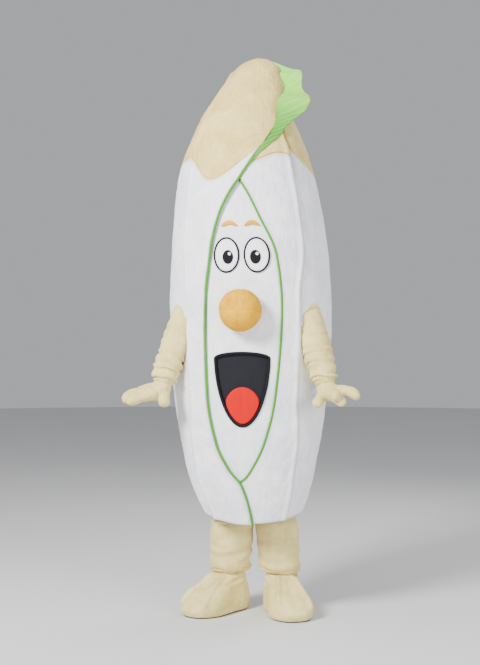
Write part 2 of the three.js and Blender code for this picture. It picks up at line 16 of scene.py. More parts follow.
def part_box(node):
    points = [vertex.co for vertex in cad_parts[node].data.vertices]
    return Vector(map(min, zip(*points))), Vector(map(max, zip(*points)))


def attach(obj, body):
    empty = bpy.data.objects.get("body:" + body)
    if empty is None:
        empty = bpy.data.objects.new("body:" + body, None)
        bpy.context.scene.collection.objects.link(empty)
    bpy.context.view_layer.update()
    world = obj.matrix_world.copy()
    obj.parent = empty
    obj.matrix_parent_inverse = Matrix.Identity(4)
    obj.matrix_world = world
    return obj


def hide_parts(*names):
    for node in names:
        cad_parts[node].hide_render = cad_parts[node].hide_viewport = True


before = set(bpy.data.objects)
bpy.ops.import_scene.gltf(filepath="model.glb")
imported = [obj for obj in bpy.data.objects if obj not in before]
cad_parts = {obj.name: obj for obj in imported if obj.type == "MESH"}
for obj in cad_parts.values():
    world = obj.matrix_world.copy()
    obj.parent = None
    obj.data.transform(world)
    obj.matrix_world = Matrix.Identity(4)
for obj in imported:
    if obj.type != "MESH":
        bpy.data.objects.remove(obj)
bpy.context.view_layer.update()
FOAM_LOW, FOAM_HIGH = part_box("foam_body")
# The body's axis in the frame. The tip's lean stays inside the body's own width.
AXIS = np.array([(FOAM_LOW.x + FOAM_HIGH.x) / 2, (FOAM_LOW.y + FOAM_HIGH.y) / 2, 0.0])
MM = 0.001

# ---------- small maths ----------


def smooth(value, low, high):
    """0 below low, 1 above high, and an even turn between."""
    share = np.clip((np.asarray(value, float) - low) / (high - low), 0, 1)
    return share * share * (3 - 2 * share)


def mix(a, b, share):
    return a + (b - a) * share


def through(pairs):
    """A smooth curve through (place, value) pairs, as a function of place."""
    places = np.array([p for p, _ in pairs], float)
    values = np.array([v for _, v in pairs], float)
    steps = np.diff(places)
    slopes = np.diff(values) / steps
    tangents = np.zeros(len(places))
    for i in range(1, len(places) - 1):
        if slopes[i - 1] * slopes[i] > 0:
            wide, near = 2 * steps[i] + steps[i - 1], steps[i] + 2 * steps[i - 1]
            tangents[i] = (wide + near) / (wide / slopes[i - 1] + near / slopes[i])
    tangents[0], tangents[-1] = slopes[0], slopes[-1]

    def curve(place):
        x = np.clip(np.asarray(place, float), places[0], places[-1])
        i = np.clip(np.searchsorted(places, x) - 1, 0, len(steps) - 1)
        h, t = steps[i], (x - places[i]) / steps[i]
        return (
            values[i] * (1 + 2 * t) * (1 - t) ** 2
            + h * tangents[i] * t * (1 - t) ** 2
            + values[i + 1] * t * t * (3 - 2 * t)
            + h * tangents[i + 1] * t * t * (t - 1)
        )

    return curve


def ripples(points, size, seed):
    """Soft unevenness from -1 to 1 at each point, with lumps about size across."""
    rng = np.random.default_rng(seed)
    total = np.zeros(points.shape[:-1])
    for _ in range(9):
        wave = rng.normal(size=3)
        wave *= rng.uniform(0.6, 1.5) * math.tau / size / np.linalg.norm(wave)
        total += np.sin(points @ wave + rng.uniform(0, math.tau))
    return total / 4.0


def run_along(line):
    """How far along a line each of its points lies."""
    return np.concatenate([[0], np.cumsum(np.linalg.norm(np.diff(line, axis=0), axis=1))])


def unit(vectors):
    return vectors / np.maximum(np.linalg.norm(vectors, axis=-1, keepdims=True), 1e-9)


# ---------- the body's surface ----------

HEM_Z = 400
BODY_DEPTH = 0.97
SQUARENESS = 2.3
FACE_RADIUS = 320
LEGS_SHIFT = 11
SHELL_TOP_Z = 2146
PROFILE = np.array(
    [
        (178, HEM_Z), (200, 452), (216, 490), (245, 580), (273, 715), (293, 850), (309, 1020),
        (317, 1200), (314, 1370), (302, 1535), (280, 1700), (243, 1860), (176, 2020), (110, 2150),
        (80, 2206), (42, 2239), (8, 2249),
    ],
    float,
)  # fmt: skip


def between(a, b, c, d, t):
    """Points between b and c on a smooth line through a, b, c and d, at shares t of the way."""
    v, w = (c - a) / 2, (d - b) / 2
    return (2 * b - 2 * c + v + w) * t**3 + (-3 * b + 3 * c - 2 * v - w) * t**2 + v * t + b


def profile_table(steps=60):
    """Radius, height and direction along the body's outline, as a spline through its points."""
    ends = np.vstack([PROFILE[:1], PROFILE, PROFILE[-1:]])
    rows = []
    for i in range(len(PROFILE) - 1):
        a, b, c, d = ends[i : i + 4]
        for t in np.linspace(0, 1, steps, endpoint=i == len(PROFILE) - 2):
            rows.append(between(a, b, c, d, t))
    rows = np.array(rows)
    return rows, unit(np.gradient(rows, axis=0))


OUTLINE, OUTLINE_WAY = profile_table()
OUTLINE_HEIGHTS = OUTLINE[:, 1]


def lean(z):
    return (
        LEGS_SHIFT * (1 - smooth(z, 400, 640))
        - 17 * smooth(z, 1370, 1860)
        + 50 * smooth(z, 2000, 2240)
    )


def body_point(degrees, z, proud):
    """Points at an angle round from the middle of the face and a height, proud of the foam."""
    z = np.asarray(z, float)
    radius, way_r, way_z = (
        np.interp(z, OUTLINE_HEIGHTS, column) for column in (OUTLINE[:, 0], *OUTLINE_WAY.T)
    )
    wide, deep = radius + proud * way_z, radius * BODY_DEPTH + proud * way_z
    turn = np.radians(degrees)
    s, c = np.sin(turn), np.cos(turn)
    reach = ((np.abs(s) / wide) ** SQUARENESS + (np.abs(c) / deep) ** SQUARENESS) ** (-1 / SQUARENESS)
    shape = np.broadcast(s, z, proud).shape
    out = np.empty(shape + (3,))
    out[..., 0], out[..., 1], out[..., 2] = lean(z) + reach * s, -reach * c, z - proud * way_r
    return out


def face_point(across, z, proud):
    return body_point(np.degrees(np.asarray(across) / FACE_RADIUS), z, proud)


# ---------- meshes ----------

JOIN_REACH = 0.00004  # metres within which points of a new mesh are one point
CUT_REACH = 0.00001  # the same after a boolean cut
SLIVER = 1e-7
PINHOLE_SIDES = 8


def shown(name, data):
    """A new object in the scene."""
    piece = bpy.data.objects.new(name, data)
    bpy.context.scene.collection.objects.link(piece)
    return piece


def make_mesh(name, points, faces, attributes=None):
    """A piece from points in millimetres about the body's axis. Its faces are turned outwards."""
    mesh = bpy.data.meshes.new(name)
    placed = np.asarray(points, float) * MM + AXIS
    mesh.from_pydata(placed.tolist(), [], faces)
    for key, values in (attributes or {}).items():
        mesh.attributes.new(key, "FLOAT", "POINT").data.foreach_set("value", np.asarray(values, np.float32))
    sealed(mesh, JOIN_REACH)
    return shown(name, mesh)


def sealed(mesh, reach):
    """Joins points closer than reach, closes pinholes and turns the faces outwards."""
    built = bmesh.new()
    built.from_mesh(mesh)
    bmesh.ops.remove_doubles(built, verts=built.verts, dist=reach)
    bmesh.ops.dissolve_degenerate(built, dist=SLIVER, edges=built.edges)
    rims = [edge for edge in built.edges if edge.is_boundary]
    bmesh.ops.holes_fill(built, edges=rims, sides=PINHOLE_SIDES)
    bmesh.ops.recalc_face_normals(built, faces=built.faces)
    if built.calc_volume(signed=True) < 0:
        bmesh.ops.reverse_faces(built, faces=built.faces)
    for face in built.faces:
        face.smooth = True
    built.to_mesh(mesh)
    built.free()


def grid_faces(rows, columns, start=0, wrap=False):
    """Quads between rows of points. wrap joins each row's last point to its first."""
    faces = []
    across = columns if wrap else columns - 1
    for i in range(rows - 1):
        for j in range(across):
            k = (j + 1) % columns
            a, b = start + i * columns, start + (i + 1) * columns
            faces.append((a + j, a + k, b + k, b + j))
    return faces


def edged(count, length, rounding):
    """Shares from 0 to 1 across a panel, close together where its edges roll over."""
    near = np.array([0, 0.06, 0.2, 0.45, 0.75]) * rounding / max(length, 4 * rounding)
    inside = np.linspace(rounding / max(length, 4 * rounding), 0.5, max(count // 2, 2))
    half = np.concatenate([near, inside])
    return np.concatenate([half, 1 - half[-2::-1]])


def surface_normals(grid):
    """Outward normals of a grid of points, from its own neighbours."""
    across, up = np.gradient(grid, axis=1), np.gradient(grid, axis=0)
    return unit(np.cross(across, up))


def tube(name, rings):
    """A closed skin through rings of points, each cap a fan about the ring's middle."""
    count, sides = rings.shape[:2]
    points = list(rings.reshape(-1, 3))
    faces = grid_faces(count, sides, wrap=True)
    for ring in (0, count - 1):
        points.append(rings[ring].mean(0))
        base = ring * sides
        faces += [(base + j, base + (j + 1) % sides, len(points) - 1) for j in range(sides)]
    return make_mesh(name, np.array(points), faces)


def frames_along(line):
    """Two cross directions at each point of a centre line, without twist."""
    way = unit(np.gradient(line, axis=0))
    first = np.empty_like(line)
    side = np.array([0.0, 1.0, 0.0])
    for i, w in enumerate(way):
        side = side - w * (side @ w)
        side /= np.linalg.norm(side)
        first[i] = side
    return first, np.cross(way, first)


def spline(points, count):
    """Evenly shared points on a smooth line through the given ones."""
    points = np.asarray(points, float)
    ends = np.vstack([2 * points[0] - points[1], points, 2 * points[-1] - points[-2]])
    dense = []
    for i in range(len(points) - 1):
        a, b, c, d = ends[i : i + 4]
        t = np.linspace(0, 1, 24, endpoint=i == len(points) - 2)[:, None]
        dense.append(between(a, b, c, d, t))
    dense = np.concatenate(dense)
    gaps = run_along(dense)
    wanted = np.linspace(0, gaps[-1], count)
    return np.stack([np.interp(wanted, gaps, dense[:, k]) for k in range(3)], 1)


def rings_along(line, radius, sides):
    """Rings of points about a centre line; radius has one row for each ring."""
    first, second = frames_along(line)
    turn = np.linspace(0, math.tau, sides, endpoint=False)
    radius = np.broadcast_to(np.atleast_2d(radius), (len(line), sides))[..., None]
    return (
        line[:, None]
        + first[:, None] * np.cos(turn)[None, :, None] * radius
        + second[:, None] * np.sin(turn)[None, :, None] * radius
    )


# ---------- shader maths ----------


class Value:
    """A shader value. Arithmetic on it adds the Math nodes it needs."""

    def __init__(self, finish, socket):
        self.finish, self.socket = finish, socket

    def _math(self, operation, a, b=None):
        inputs = {0: a} if b is None else {0: a, 1: b}
        return self.finish.node("ShaderNodeMath", {"operation": operation}, inputs)

    def __add__(self, other):
        return self._math("ADD", self, other)

    def __sub__(self, other):
        return self._math("SUBTRACT", self, other)

    def __mul__(self, other):
        return self._math("MULTIPLY", self, other)

    __radd__, __rmul__ = __add__, __mul__

    def sine(self):
        return self._math("SINE", self)

    def clamped(self, low, high):
        """0 where the value is below low, 1 above high."""
        settings = {"interpolation_type": "SMOOTHSTEP"}
        inputs = {"Value": self, "From Min": low, "From Max": high}
        return self.finish.node("ShaderNodeMapRange", settings, inputs)


class Finish:
    """One procedural material. node() is the only way a node is added to it."""

    def __init__(self, name, colour, roughness, **constants):
        self.material = bpy.data.materials.new(name)
        self.material.use_nodes = True
        self.tree = self.material.node_tree
        self.shader = self.tree.nodes["Principled BSDF"]
        self.set("Base Color", (*colour, 1))
        self.set("Roughness", roughness)
        for key, value in constants.items():
            self.set(key.replace("_", " "), value)
        self.material.diffuse_color = (*colour, 1)
        self.place = self.node("ShaderNodeTexCoord", output="Object")

    def set(self, socket, value):
        target = self.shader.inputs[socket]
        if isinstance(value, Value):
            self.tree.links.new(value.socket, target)
        else:
            target.default_value = value

    def node(self, kind, settings=None, inputs=None, output=0):
        made = self.tree.nodes.new(kind)
        for key, value in (settings or {}).items():
            setattr(made, key, value)
        for key, value in (inputs or {}).items():
            if isinstance(value, Value):
                self.tree.links.new(value.socket, made.inputs[key])
            else:
                made.inputs[key].default_value = value
        return Value(self, made.outputs[output])

    def stretched(self, scale, place=None):
        """Object coordinates scaled differently along each axis."""
        inputs = {"Vector": place or self.place, "Scale": scale}
        return self.node("ShaderNodeMapping", inputs=inputs)

    def noise(self, scale, detail=2.0, place=None, rough=0.5, distortion=0.0):
        inputs = {"Vector": place or self.place, "Scale": scale, "Detail": detail, "Roughness": rough,
                  "Distortion": distortion}  # fmt: skip
        return self.node("ShaderNodeTexNoise", inputs=inputs)

    def cells(self, scale, place=None):
        return self.node("ShaderNodeTexVoronoi", None, {"Vector": place or self.place, "Scale": scale})

    def blend(self, share, a, b):
        """A colour between a and b."""
        a, b = (colour if isinstance(colour, Value) else (*colour, 1) for colour in (a, b))
        return self.node("ShaderNodeMix", {"data_type": "RGBA"}, {0: share, 6: a, 7: b}, output=2)

    def attribute(self, name):
        return self.node("ShaderNodeAttribute", {"attribute_name": name}, output="Fac")

    def axis(self, letter, place=None):
        return self.node("ShaderNodeSeparateXYZ", inputs={0: place or self.place}, output=letter)

    def bump(self, *heights):
        """Stacks bumps, each (height, depth in metres, strength), and feeds the last one to Normal."""
        normal = None
        for height, depth, strength in heights:
            inputs = {"Height": height, "Distance": depth, "Strength": strength}
            if normal is not None:
                inputs["Normal"] = normal
            normal = self.node("ShaderNodeBump", inputs=inputs)
        self.set("Normal", normal)


def plush(name, pale, shade, pile_size, sheen, lay=(1.0, 1.0, 0.35), seam_shade=0.9, dyed_to=None):
    """Pile fabric: fibres brushed downwards in uneven patches, darkened near the seams by painted shade,
    dyed towards one edge.
    """
    finish = Finish(name, pale, 0.95, Sheen_Weight=sheen, Sheen_Roughness=0.45, Specular_IOR_Level=0.25)
    finish.set("Sheen Tint", (*mix(np.array(pale), 1.0, 0.5), 1.0))
    brushed = finish.stretched(lay)
    patches = finish.noise(11, 3, rough=0.6)
    clumps = finish.noise(60, 3, brushed, 0.65, 0.4)
    fibres = finish.noise(pile_size, 2, brushed, 0.7)
    tufts = finish.cells(pile_size * 0.55, brushed)
    tone = patches.clamped(0.32, 0.7) * 0.45 + clumps.clamped(0.3, 0.7) * 0.35 + fibres * 0.2
    # Painted shade: the pile is darkened near the seams, where the panels meet.
    worn = finish.attribute("worn").clamped(0.3, 1.0)
    colour = finish.blend(tone, shade, pale)
    if dyed_to:
        colour = finish.blend(finish.attribute("dye").clamped(0.0, 1.0), colour, dyed_to)
    finish.set("Base Color", finish.blend(worn, colour, darkened(shade, seam_shade)))
    finish.set("Roughness", fibres * 0.15 + 0.82)
    finish.bump((patches, 0.012, 0.2), (clumps, 0.005, 0.45), (tufts, 0.002, 0.45), (fibres, 0.002, 0.6))
    return finish.material


def srgb(red, green, blue):
    """A linear colour from the 0 to 255 values a painter reads."""

    def linear(value):
        return ((value / 255 + 0.055) / 1.055) ** 2.4 if value > 10 else value / 255 / 12.92

    return linear(red), linear(green), linear(blue)


def darkened(colour, share):
    return tuple(np.array(colour) * share)


def felt(name, colour, fleck=0.85, roughness=0.9, sheen=0.2):
    """Pressed wool felt: matted fibres with no direction, slightly flecked."""
    finish = Finish(name, colour, roughness, Sheen_Weight=sheen, Sheen_Roughness=0.5, Specular_IOR_Level=0.2)
    matted = finish.noise(420, 4, rough=0.75, distortion=1.2)
    broad = finish.noise(45, 2)
    finish.set("Base Color", finish.blend(matted * 0.6 + broad * 0.4, darkened(colour, fleck), colour))
    finish.set("Roughness", matted * 0.2 + (roughness - 0.1))
    finish.bump((broad, 0.002, 0.15), (matted, 0.0008, 0.55))
    return finish.material


def woven(name, colour, threads, shade=0.6, depth=0.0006, roughness=0.7):
    """Plain weave or webbing: threads over and under each other, threads to the metre."""
    finish = Finish(name, colour, roughness, Specular_IOR_Level=0.3)
    turn = math.tau * threads
    across = (finish.axis("X") * turn + finish.axis("Y") * turn).sine()
    up = (finish.axis("Z") * turn).sine()
    weave = across * up * 0.5 + 0.5
    wear = finish.noise(30, 4)
    finish.set("Base Color", finish.blend(weave * 0.7 + wear * 0.3, darkened(colour, shade), colour))
    finish.set("Roughness", wear * 0.2 + (roughness - 0.1))
    finish.bump((weave, depth, 0.6), (finish.noise(900, 2), 0.0003, 0.3))
    return finish.material


def moulded(name, colour, roughness, grain=350, metallic=0.0, depth=0.0004):
    """Rubber, plastic or metal with a fine moulded or brushed grain and rubbed patches."""
    finish = Finish(name, colour, roughness, Metallic=metallic)
    fine, rubbed = finish.noise(grain, 3), finish.noise(18, 4, rough=0.6)
    finish.set("Base Color", finish.blend(rubbed, darkened(colour, 0.75), colour))
    finish.set("Roughness", rubbed * 0.25 + (roughness - 0.12))
    finish.bump((fine, depth, 0.4))
    return finish.material


def foam_finish():
    """Open-cell foam: small round pores, yellowed a little in patches."""
    finish = Finish("open_cell_foam", srgb(206, 203, 190), 0.95, Specular_IOR_Level=0.2)
    pores, age = finish.cells(260), finish.noise(7, 3)
    finish.set("Base Color", finish.blend(age, srgb(188, 180, 154), srgb(214, 212, 200)))
    finish.set("Roughness", age * 0.1 + 0.88)
    finish.bump((pores, 0.002, 0.6), (finish.noise(900), 0.0006, 0.3))
    return finish.material


def leaf_green_finish():
    """Green fleece of the leaf's margin, with painted light making its upper part paler, and soft veins
    along it.
    """
    finish = Finish("green_leaf_fleece", srgb(130, 205, 80), 0.9, Sheen_Weight=0.12, Sheen_Roughness=0.5)
    height, tone = finish.axis("Z").clamped(1.93, 2.16), finish.noise(14, 3)
    vein = finish.attribute("vein")
    # Painted light: the margin is paler higher up, as if lit from above.
    colour = finish.blend(height * 0.85 + tone * 0.15, srgb(52, 142, 10), srgb(150, 224, 78))
    finish.set("Base Color", finish.blend(vein * 0.16, colour, srgb(206, 246, 172)))
    nap = finish.noise(500, 3, finish.stretched((1.0, 1.0, 0.4)), 0.7)
    finish.set("Roughness", nap * 0.15 + 0.8)
    finish.bump((vein, 0.001, 0.25), (finish.noise(70, 2), 0.002, 0.2), (nap, 0.001, 0.4))
    return finish.material


WHITE = plush("white_long_plush", srgb(253, 253, 255), srgb(222, 223, 232), 300, 0.3, seam_shade=0.8,
              dyed_to=srgb(224, 206, 150))  # fmt: skip
CREAM = plush("cream_velour", srgb(238, 216, 144), srgb(206, 178, 102), 420, 0.2, (1.0, 1.0, 0.5), 0.78)
LIMB = plush("cream_limb_velour", srgb(236, 220, 154), srgb(206, 186, 116), 420, 0.2, (1.0, 1.0, 0.6), 0.82)
GOLD = plush("golden_plush", srgb(236, 180, 0), srgb(202, 134, 0), 380, 0.02)
GREEN = leaf_green_finish()
CORD_GREEN = felt("green_cord", srgb(72, 152, 22), 0.75, 0.75, 0.05)
BLACK = felt("black_felt", srgb(20, 20, 26), 0.6, sheen=0.05)
WHITE_FELT = felt("white_felt", srgb(250, 250, 254), 0.94)
RED = felt("red_felt", srgb(200, 0, 0), 0.85, sheen=0.02)
SCREEN = woven("mouth_screen", srgb(26, 26, 34), 420, 0.35, 0.0008, 0.85)
FOAM_FINISH = foam_finish()
RUBBER = moulded("sole_rubber", srgb(28, 28, 30), 0.7)
WEBBING = woven("strap_webbing", srgb(46, 46, 52), 380, 0.55, 0.0007)
ELASTIC = woven("casing_cotton", srgb(214, 205, 170), 520, 0.8, 0.0004)
ROD = moulded("boning_plastic", srgb(216, 216, 208), 0.45, 200)
ZIP_TAPE = woven("zip_tape", srgb(232, 232, 228), 700, 0.85, 0.0003)
METAL = moulded("zip_metal", srgb(190, 190, 194), 0.35, 500, 1.0, 0.0002)


def ready(piece, material, slot, *nodes, fill=None):
    """Dresses a finished piece, rides it on the costume and hides the CAD nodes it stands for."""
    piece.data.materials.clear()
    piece.data.materials.append(material)
    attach(piece, "root")
    if nodes:
        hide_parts(*nodes)
    return piece


# ---------- geometry nodes ----------


def grow_tree(name, sizes, build):
    """A node tree with a geometry input, one named input for each size, and a material input.

    build(node, given) returns the socket of the shape. node(kind, settings, inputs) adds one node.
    """
    tree = bpy.data.node_groups.new(name, "GeometryNodeTree")
    tree.interface.new_socket("Path", in_out="INPUT", socket_type="NodeSocketGeometry")
    for size in sizes:
        kind = "NodeSocketInt" if size == "Sides" else "NodeSocketFloat"
        tree.interface.new_socket(size, in_out="INPUT", socket_type=kind)
    tree.interface.new_socket("Material", in_out="INPUT", socket_type="NodeSocketMaterial")
    tree.interface.new_socket("Shape", in_out="OUTPUT", socket_type="NodeSocketGeometry")

    def node(kind, settings=None, inputs=None):
        made = tree.nodes.new(kind)
        for key, value in (settings or {}).items():
            setattr(made, key, value)
        for key, value in (inputs or {}).items():
            if isinstance(value, bpy.types.NodeSocket):
                tree.links.new(value, made.inputs[key])
            else:
                made.inputs[key].default_value = value
        return made

    given = node("NodeGroupInput").outputs
    shape = build(node, given)
    smooth_shape = node("GeometryNodeSetShadeSmooth", None, {"Geometry": shape}).outputs[0]
    real = node("GeometryNodeRealizeInstances", None, {"Geometry": smooth_shape}).outputs[0]
    dressed = node("GeometryNodeSetMaterial", None, {"Geometry": real, "Material": given["Material"]})
    node("NodeGroupOutput", None, {"Shape": dressed.outputs[0]})
    return tree


def cord_nodes(node, given):
    """A round cord along the path, rolled from a circle of the given radius."""
    line = node("GeometryNodeMeshToCurve", None, {"Mesh": given["Path"]}).outputs[0]
    round_section = {"Resolution": given["Sides"], "Radius": given["Radius"]}
    circle = node("GeometryNodeCurvePrimitiveCircle", None, round_section)
    swept = node("GeometryNodeCurveToMesh", None,
                 {"Curve": line, "Profile Curve": circle.outputs[0], "Fill Caps": True})  # fmt: skip
    return swept.outputs[0]


def bead_nodes(node, given):
    """A small rounded bead, such as a stitch or a zip tooth, at every point, lying along its way."""
    bead = node("GeometryNodeMeshUVSphere", None, {"Segments": given["Sides"], "Rings": 4, "Radius": 0.5})
    measures = {"X": given["Length"], "Y": given["Width"], "Z": given["Width"]}
    size = node("ShaderNodeCombineXYZ", None, measures)
    long_bead = node("GeometryNodeTransform", None, {"Geometry": bead.outputs[0], "Scale": size.outputs[0]})
    way = node("GeometryNodeInputNamedAttribute", {"data_type": "FLOAT_VECTOR"}, {"Name": "way"})
    turn = node("FunctionNodeAlignRotationToVector", {"axis": "X"}, {"Vector": way.outputs[0]})
    copies = {"Points": given["Path"], "Instance": long_bead.outputs[0], "Rotation": turn.outputs[0]}
    return node("GeometryNodeInstanceOnPoints", None, copies).outputs[0]


CORD_TREE = grow_tree("laid_cord", ("Radius", "Sides"), cord_nodes)
BEAD_TREE = grow_tree("row_of_beads", ("Length", "Width", "Sides"), bead_nodes)


def grown(name, tree, points, sizes, material, closed=False, ways=None):
    """Runs a tree on a line of points and keeps the result as a plain mesh."""
    line = bpy.data.meshes.new(name + "_line")
    count = len(points)
    edges = [] if ways is not None else [(i, (i + 1) % count) for i in range(count if closed else count - 1)]
    line.from_pydata((np.asarray(points) * MM + AXIS).tolist(), edges, [])
    if ways is not None:
        line.attributes.new("way", "FLOAT_VECTOR", "POINT").data.foreach_set("vector", np.ravel(ways))
    guide = shown(name + "_guide", line)
    modifier = guide.modifiers.new("grow", "NODES")
    modifier.node_group = tree
    wanted = {**sizes, "Material": material}
    for item in tree.interface.items_tree:
        if item.in_out == "INPUT" and item.name in wanted:
            modifier[item.identifier] = wanted[item.name]
    shaped = guide.evaluated_get(bpy.context.evaluated_depsgraph_get())
    mesh = bpy.data.meshes.new_from_object(shaped)
    mesh.name = name
    bpy.data.objects.remove(guide)
    built = bmesh.new()
    built.from_mesh(mesh)
    bmesh.ops.remove_doubles(built, verts=built.verts, dist=0.00002)
    bmesh.ops.recalc_face_normals(built, faces=built.faces)
    built.to_mesh(mesh)
    built.free()
    return shown(name, mesh)


CORD_SIDES = 12


def laid_cord(name, points, radius, material, closed=False):
    return grown(name, CORD_TREE, points, {"Radius": radius * MM, "Sides": CORD_SIDES}, material, closed)


def beads(name, points, ways, length, width, material, sides=6):
    sizes = {"Length": length * MM, "Width": width * MM, "Sides": sides}
    return grown(name, BEAD_TREE, points, sizes, material, ways=unit(np.asarray(ways, float)))


def spaced(line, spacing):
    """Points a fixed distance apart along a line, and the line's direction at each."""
    gaps = run_along(line)
    at = np.arange(spacing / 2, gaps[-1], spacing)
    points = np.stack([np.interp(at, gaps, line[:, k]) for k in range(3)], 1)
    return points, unit(np.gradient(points, axis=0))


# ---------- fabric that settles ----------


LOOSE = {"pressure": 2.0, "frames": 14, "stiffness": 12.0, "bending": 0.4}
STUFFED = {"pressure": 3.0, "frames": 10, "stiffness": 14, "bending": 0.6}


def settled(rings, held, shrink, cap):
    """Rings of a fabric tube after the cloth has buckled and swollen between the rings that are held.

    shrink below 0 gives the fabric more length and width than its place has, so it folds. No point
    ends further than cap from where it started.
    """
    rows, sides = rings.shape[:2]
    mesh = bpy.data.meshes.new("fabric_tube")
    mesh.from_pydata((rings.reshape(-1, 3) * MM).tolist(), [], grid_faces(rows, sides, wrap=True))
    cloth = shown("fabric_tube", mesh)
    group = cloth.vertex_groups.new(name="held")
    for row, weight in enumerate(held):
        if weight > 0:
            group.add(list(range(row * sides, (row + 1) * sides)), float(weight), "REPLACE")
    run_cloth(cloth, shrink, LOOSE, "held")
    moved = read_points(cloth) / MM
    bpy.data.objects.remove(cloth)
    start = rings.reshape(-1, 3)
    shift = moved - start
    length = np.linalg.norm(shift, axis=1, keepdims=True)
    return (start + shift * np.minimum(1, cap / np.maximum(length, 1e-6))).reshape(rings.shape)


def run_cloth(piece, shrink, fabric, held=""):
    modifier = piece.modifiers.new("fabric", "CLOTH")
    cloth = modifier.settings
    cloth.quality = 6
    cloth.mass = 0.25
    cloth.tension_stiffness = cloth.compression_stiffness = fabric["stiffness"]
    cloth.shear_stiffness = fabric["stiffness"] / 3
    cloth.bending_stiffness = fabric["bending"]
    cloth.shrink_min = shrink
    cloth.use_pressure = True
    cloth.uniform_pressure_force = fabric["pressure"]
    cloth.effector_weights.gravity = 0
    cloth.vertex_group_mass = held
    modifier.collision_settings.use_collision = False
    modifier.point_cache.frame_start, modifier.point_cache.frame_end = 1, fabric["frames"]
    for frame_number in range(1, fabric["frames"] + 1):
        bpy.context.scene.frame_set(frame_number)


def read_points(piece):
    """A piece's points after its modifiers."""
    shaped = piece.evaluated_get(bpy.context.evaluated_depsgraph_get())
    mesh = shaped.to_mesh()
    flat = np.empty(len(mesh.vertices) * 3)
    mesh.vertices.foreach_get("co", flat)
    shaped.to_mesh_clear()
    return flat.reshape(-1, 3)


def kept_shape(piece):
    """Applies a piece's modifiers and returns it."""
    mesh = bpy.data.meshes.new_from_object(piece.evaluated_get(bpy.context.evaluated_depsgraph_get()))
    piece.modifiers.clear()
    piece.data = mesh
    return piece


def cut(piece, *cutters):
    """Cuts closed shapes out of a piece."""
    for cutter in cutters:
        modifier = piece.modifiers.new("cut", "BOOLEAN")
        modifier.operation, modifier.solver, modifier.object = "DIFFERENCE", "EXACT", cutter
    kept_shape(piece)
    sealed(piece.data, CUT_REACH)
    return piece


def wall(name, outer, inner):
    """A closed wall between an outer and an inner tube of rings, joined at both ends."""
    rings = np.concatenate([outer, inner[::-1], outer[:1]])
    return make_mesh(name, rings.reshape(-1, 3), grid_faces(len(rings), rings.shape[1], wrap=True))


# ---------- the leaves ----------

LEAF = 5
PROUD = {"inner": 4, "back": 13, "left": 12, "right": 22, "right_tip": 13.5, "felt": 10.5}
FOAM = 11
FOAM_PROUD = -1.5
BACK_ANGLE = 128
OVERLAP = 6
ZIP_TOP_Z = 1760
TIP_TOP_Z = 2234

right_edge = through(
    [(380, 5), (554, -3), (620, -13), (720, -22), (900, -26.5), (1250, -26), (1450, -23), (1600, -16.5),
     (1690, -8), (1750, 0), (1842, 13.5), (1870, 18.5), (1932, 29.7), (1972, 38), (2047, 46), (2091, 54),
     (2120, 64), (2149, 74)]
)  # fmt: skip
left_edge = through(
    [(380, -6), (554, -5), (585, 2.5), (620, 8), (720, 17.5), (900, 24.5), (1250, 28), (1450, 25),
     (1600, 14.5), (1690, 7), (1750, 0), (1860, -12), (2146, -12)]
)  # fmt: skip
hood_back_edge = through(
    [(1700, -46), (1860, -47), (1950, -48), (2050, -51), (2110, -56), (2160, -66), (2196, -85), (2212, -125),
     (2224, -179.9), (2249, -179.9)]
)  # fmt: skip
hood_front_edge = through(
    [(1700, -6), (1750, 0), (1842, 13.5), (1870, 18.5), (1932, 29.7), (1972, 38), (2047, 46), (2091, 54),
     (2112, 62), (2130, 67), (2145, 69), (2158, 67.5), (2175, 62), (2188, 59), (2198, 64), (2211, 120),
     (2224, 179.9), (2249, 179.9)]
)  # fmt: skip


def ridge(z):
    """Where the front leaves' outer edges lie. They draw in beside the arms."""
    return 46 - 4.5 * smooth(z, 700, 900) * (1 - smooth(z, 1290, 1480))


def inner_front(z):
    return ridge(z) - OVERLAP * (1 - smooth(z, 1740, 1775)) + 0.7


def even_proud(layer):
    """A leaf that lies the same height above the body all over."""
    return lambda angle, z: PROUD[layer] + 0 * angle


def back_proud(angle, z):
    return mix(PROUD["back"], PROUD["inner"], smooth(np.abs(angle), 132, 150))


def settle(z):
    return smooth(z, 1835, 1990)


def right_proud(angle, z):
    return mix(mix(PROUD["left"], PROUD["right"], smooth(angle, -35, -8)), PROUD["right_tip"], settle(z))


# The hood's lower edge is a round tongue, steeper on the wearer's left.
right_line = through(
    [(0, 1838), (0.08, 1826), (0.18, 1803), (0.29, 1776), (0.4, 1755), (0.52, 1745), (0.62, 1748),
     (0.74, 1767), (0.84, 1797), (0.94, 1838), (1, 1862)]
)  # fmt: skip


def left_line(across):
    return 1817 + 32 * smooth(across, 0.35, 0.8) - 10 * smooth(across, 0.85, 1)


def side_line(sign):
    if sign > 0:
        return lambda a: 1785 + 95 * np.maximum(1 - a / 0.55, 0) ** 2 + 50 * np.maximum(a / 0.55 - 1, 0) ** 2
    return lambda a: 1818 + 26 * (2 * (a - 0.6)) ** 2


def back_line(across):
    return 1785 + 45 * (2 * (across - 0.5)) ** 2


def flat(points, edges):
    return 0 * points[..., 0]


def cushioned(crown, ridges, seed, full=1.0):
    """Relief of a padded leaf: soft unevenness, a crown, and raised ridges beside some of its edges.

    ridges holds (edge, height, distance from the edge, width), edge being one of the four distances.
    """

    def relief(points, edges):
        soft = 1.7 * ripples(points, 210, seed) + 0.9 * ripples(points, 70, seed + 1)
        soft = soft + 0.5 * ripples(points, 26, seed + 2)
        sides = np.minimum(edges["left"], edges["right"])
        lift = crown * smooth(sides, 0, 55) + soft * full
        for edge, height, place, width in ridges:
            lift = lift + height * np.exp(-(((edges[edge] - place) / width) ** 2))
        return lift

    return relief


SEAM_SHADE_WIDTH = 26  # how far from a seam shade is painted on the pile
DYE_WIDTH = 22  # how far the cream dye has crept into a white leaf


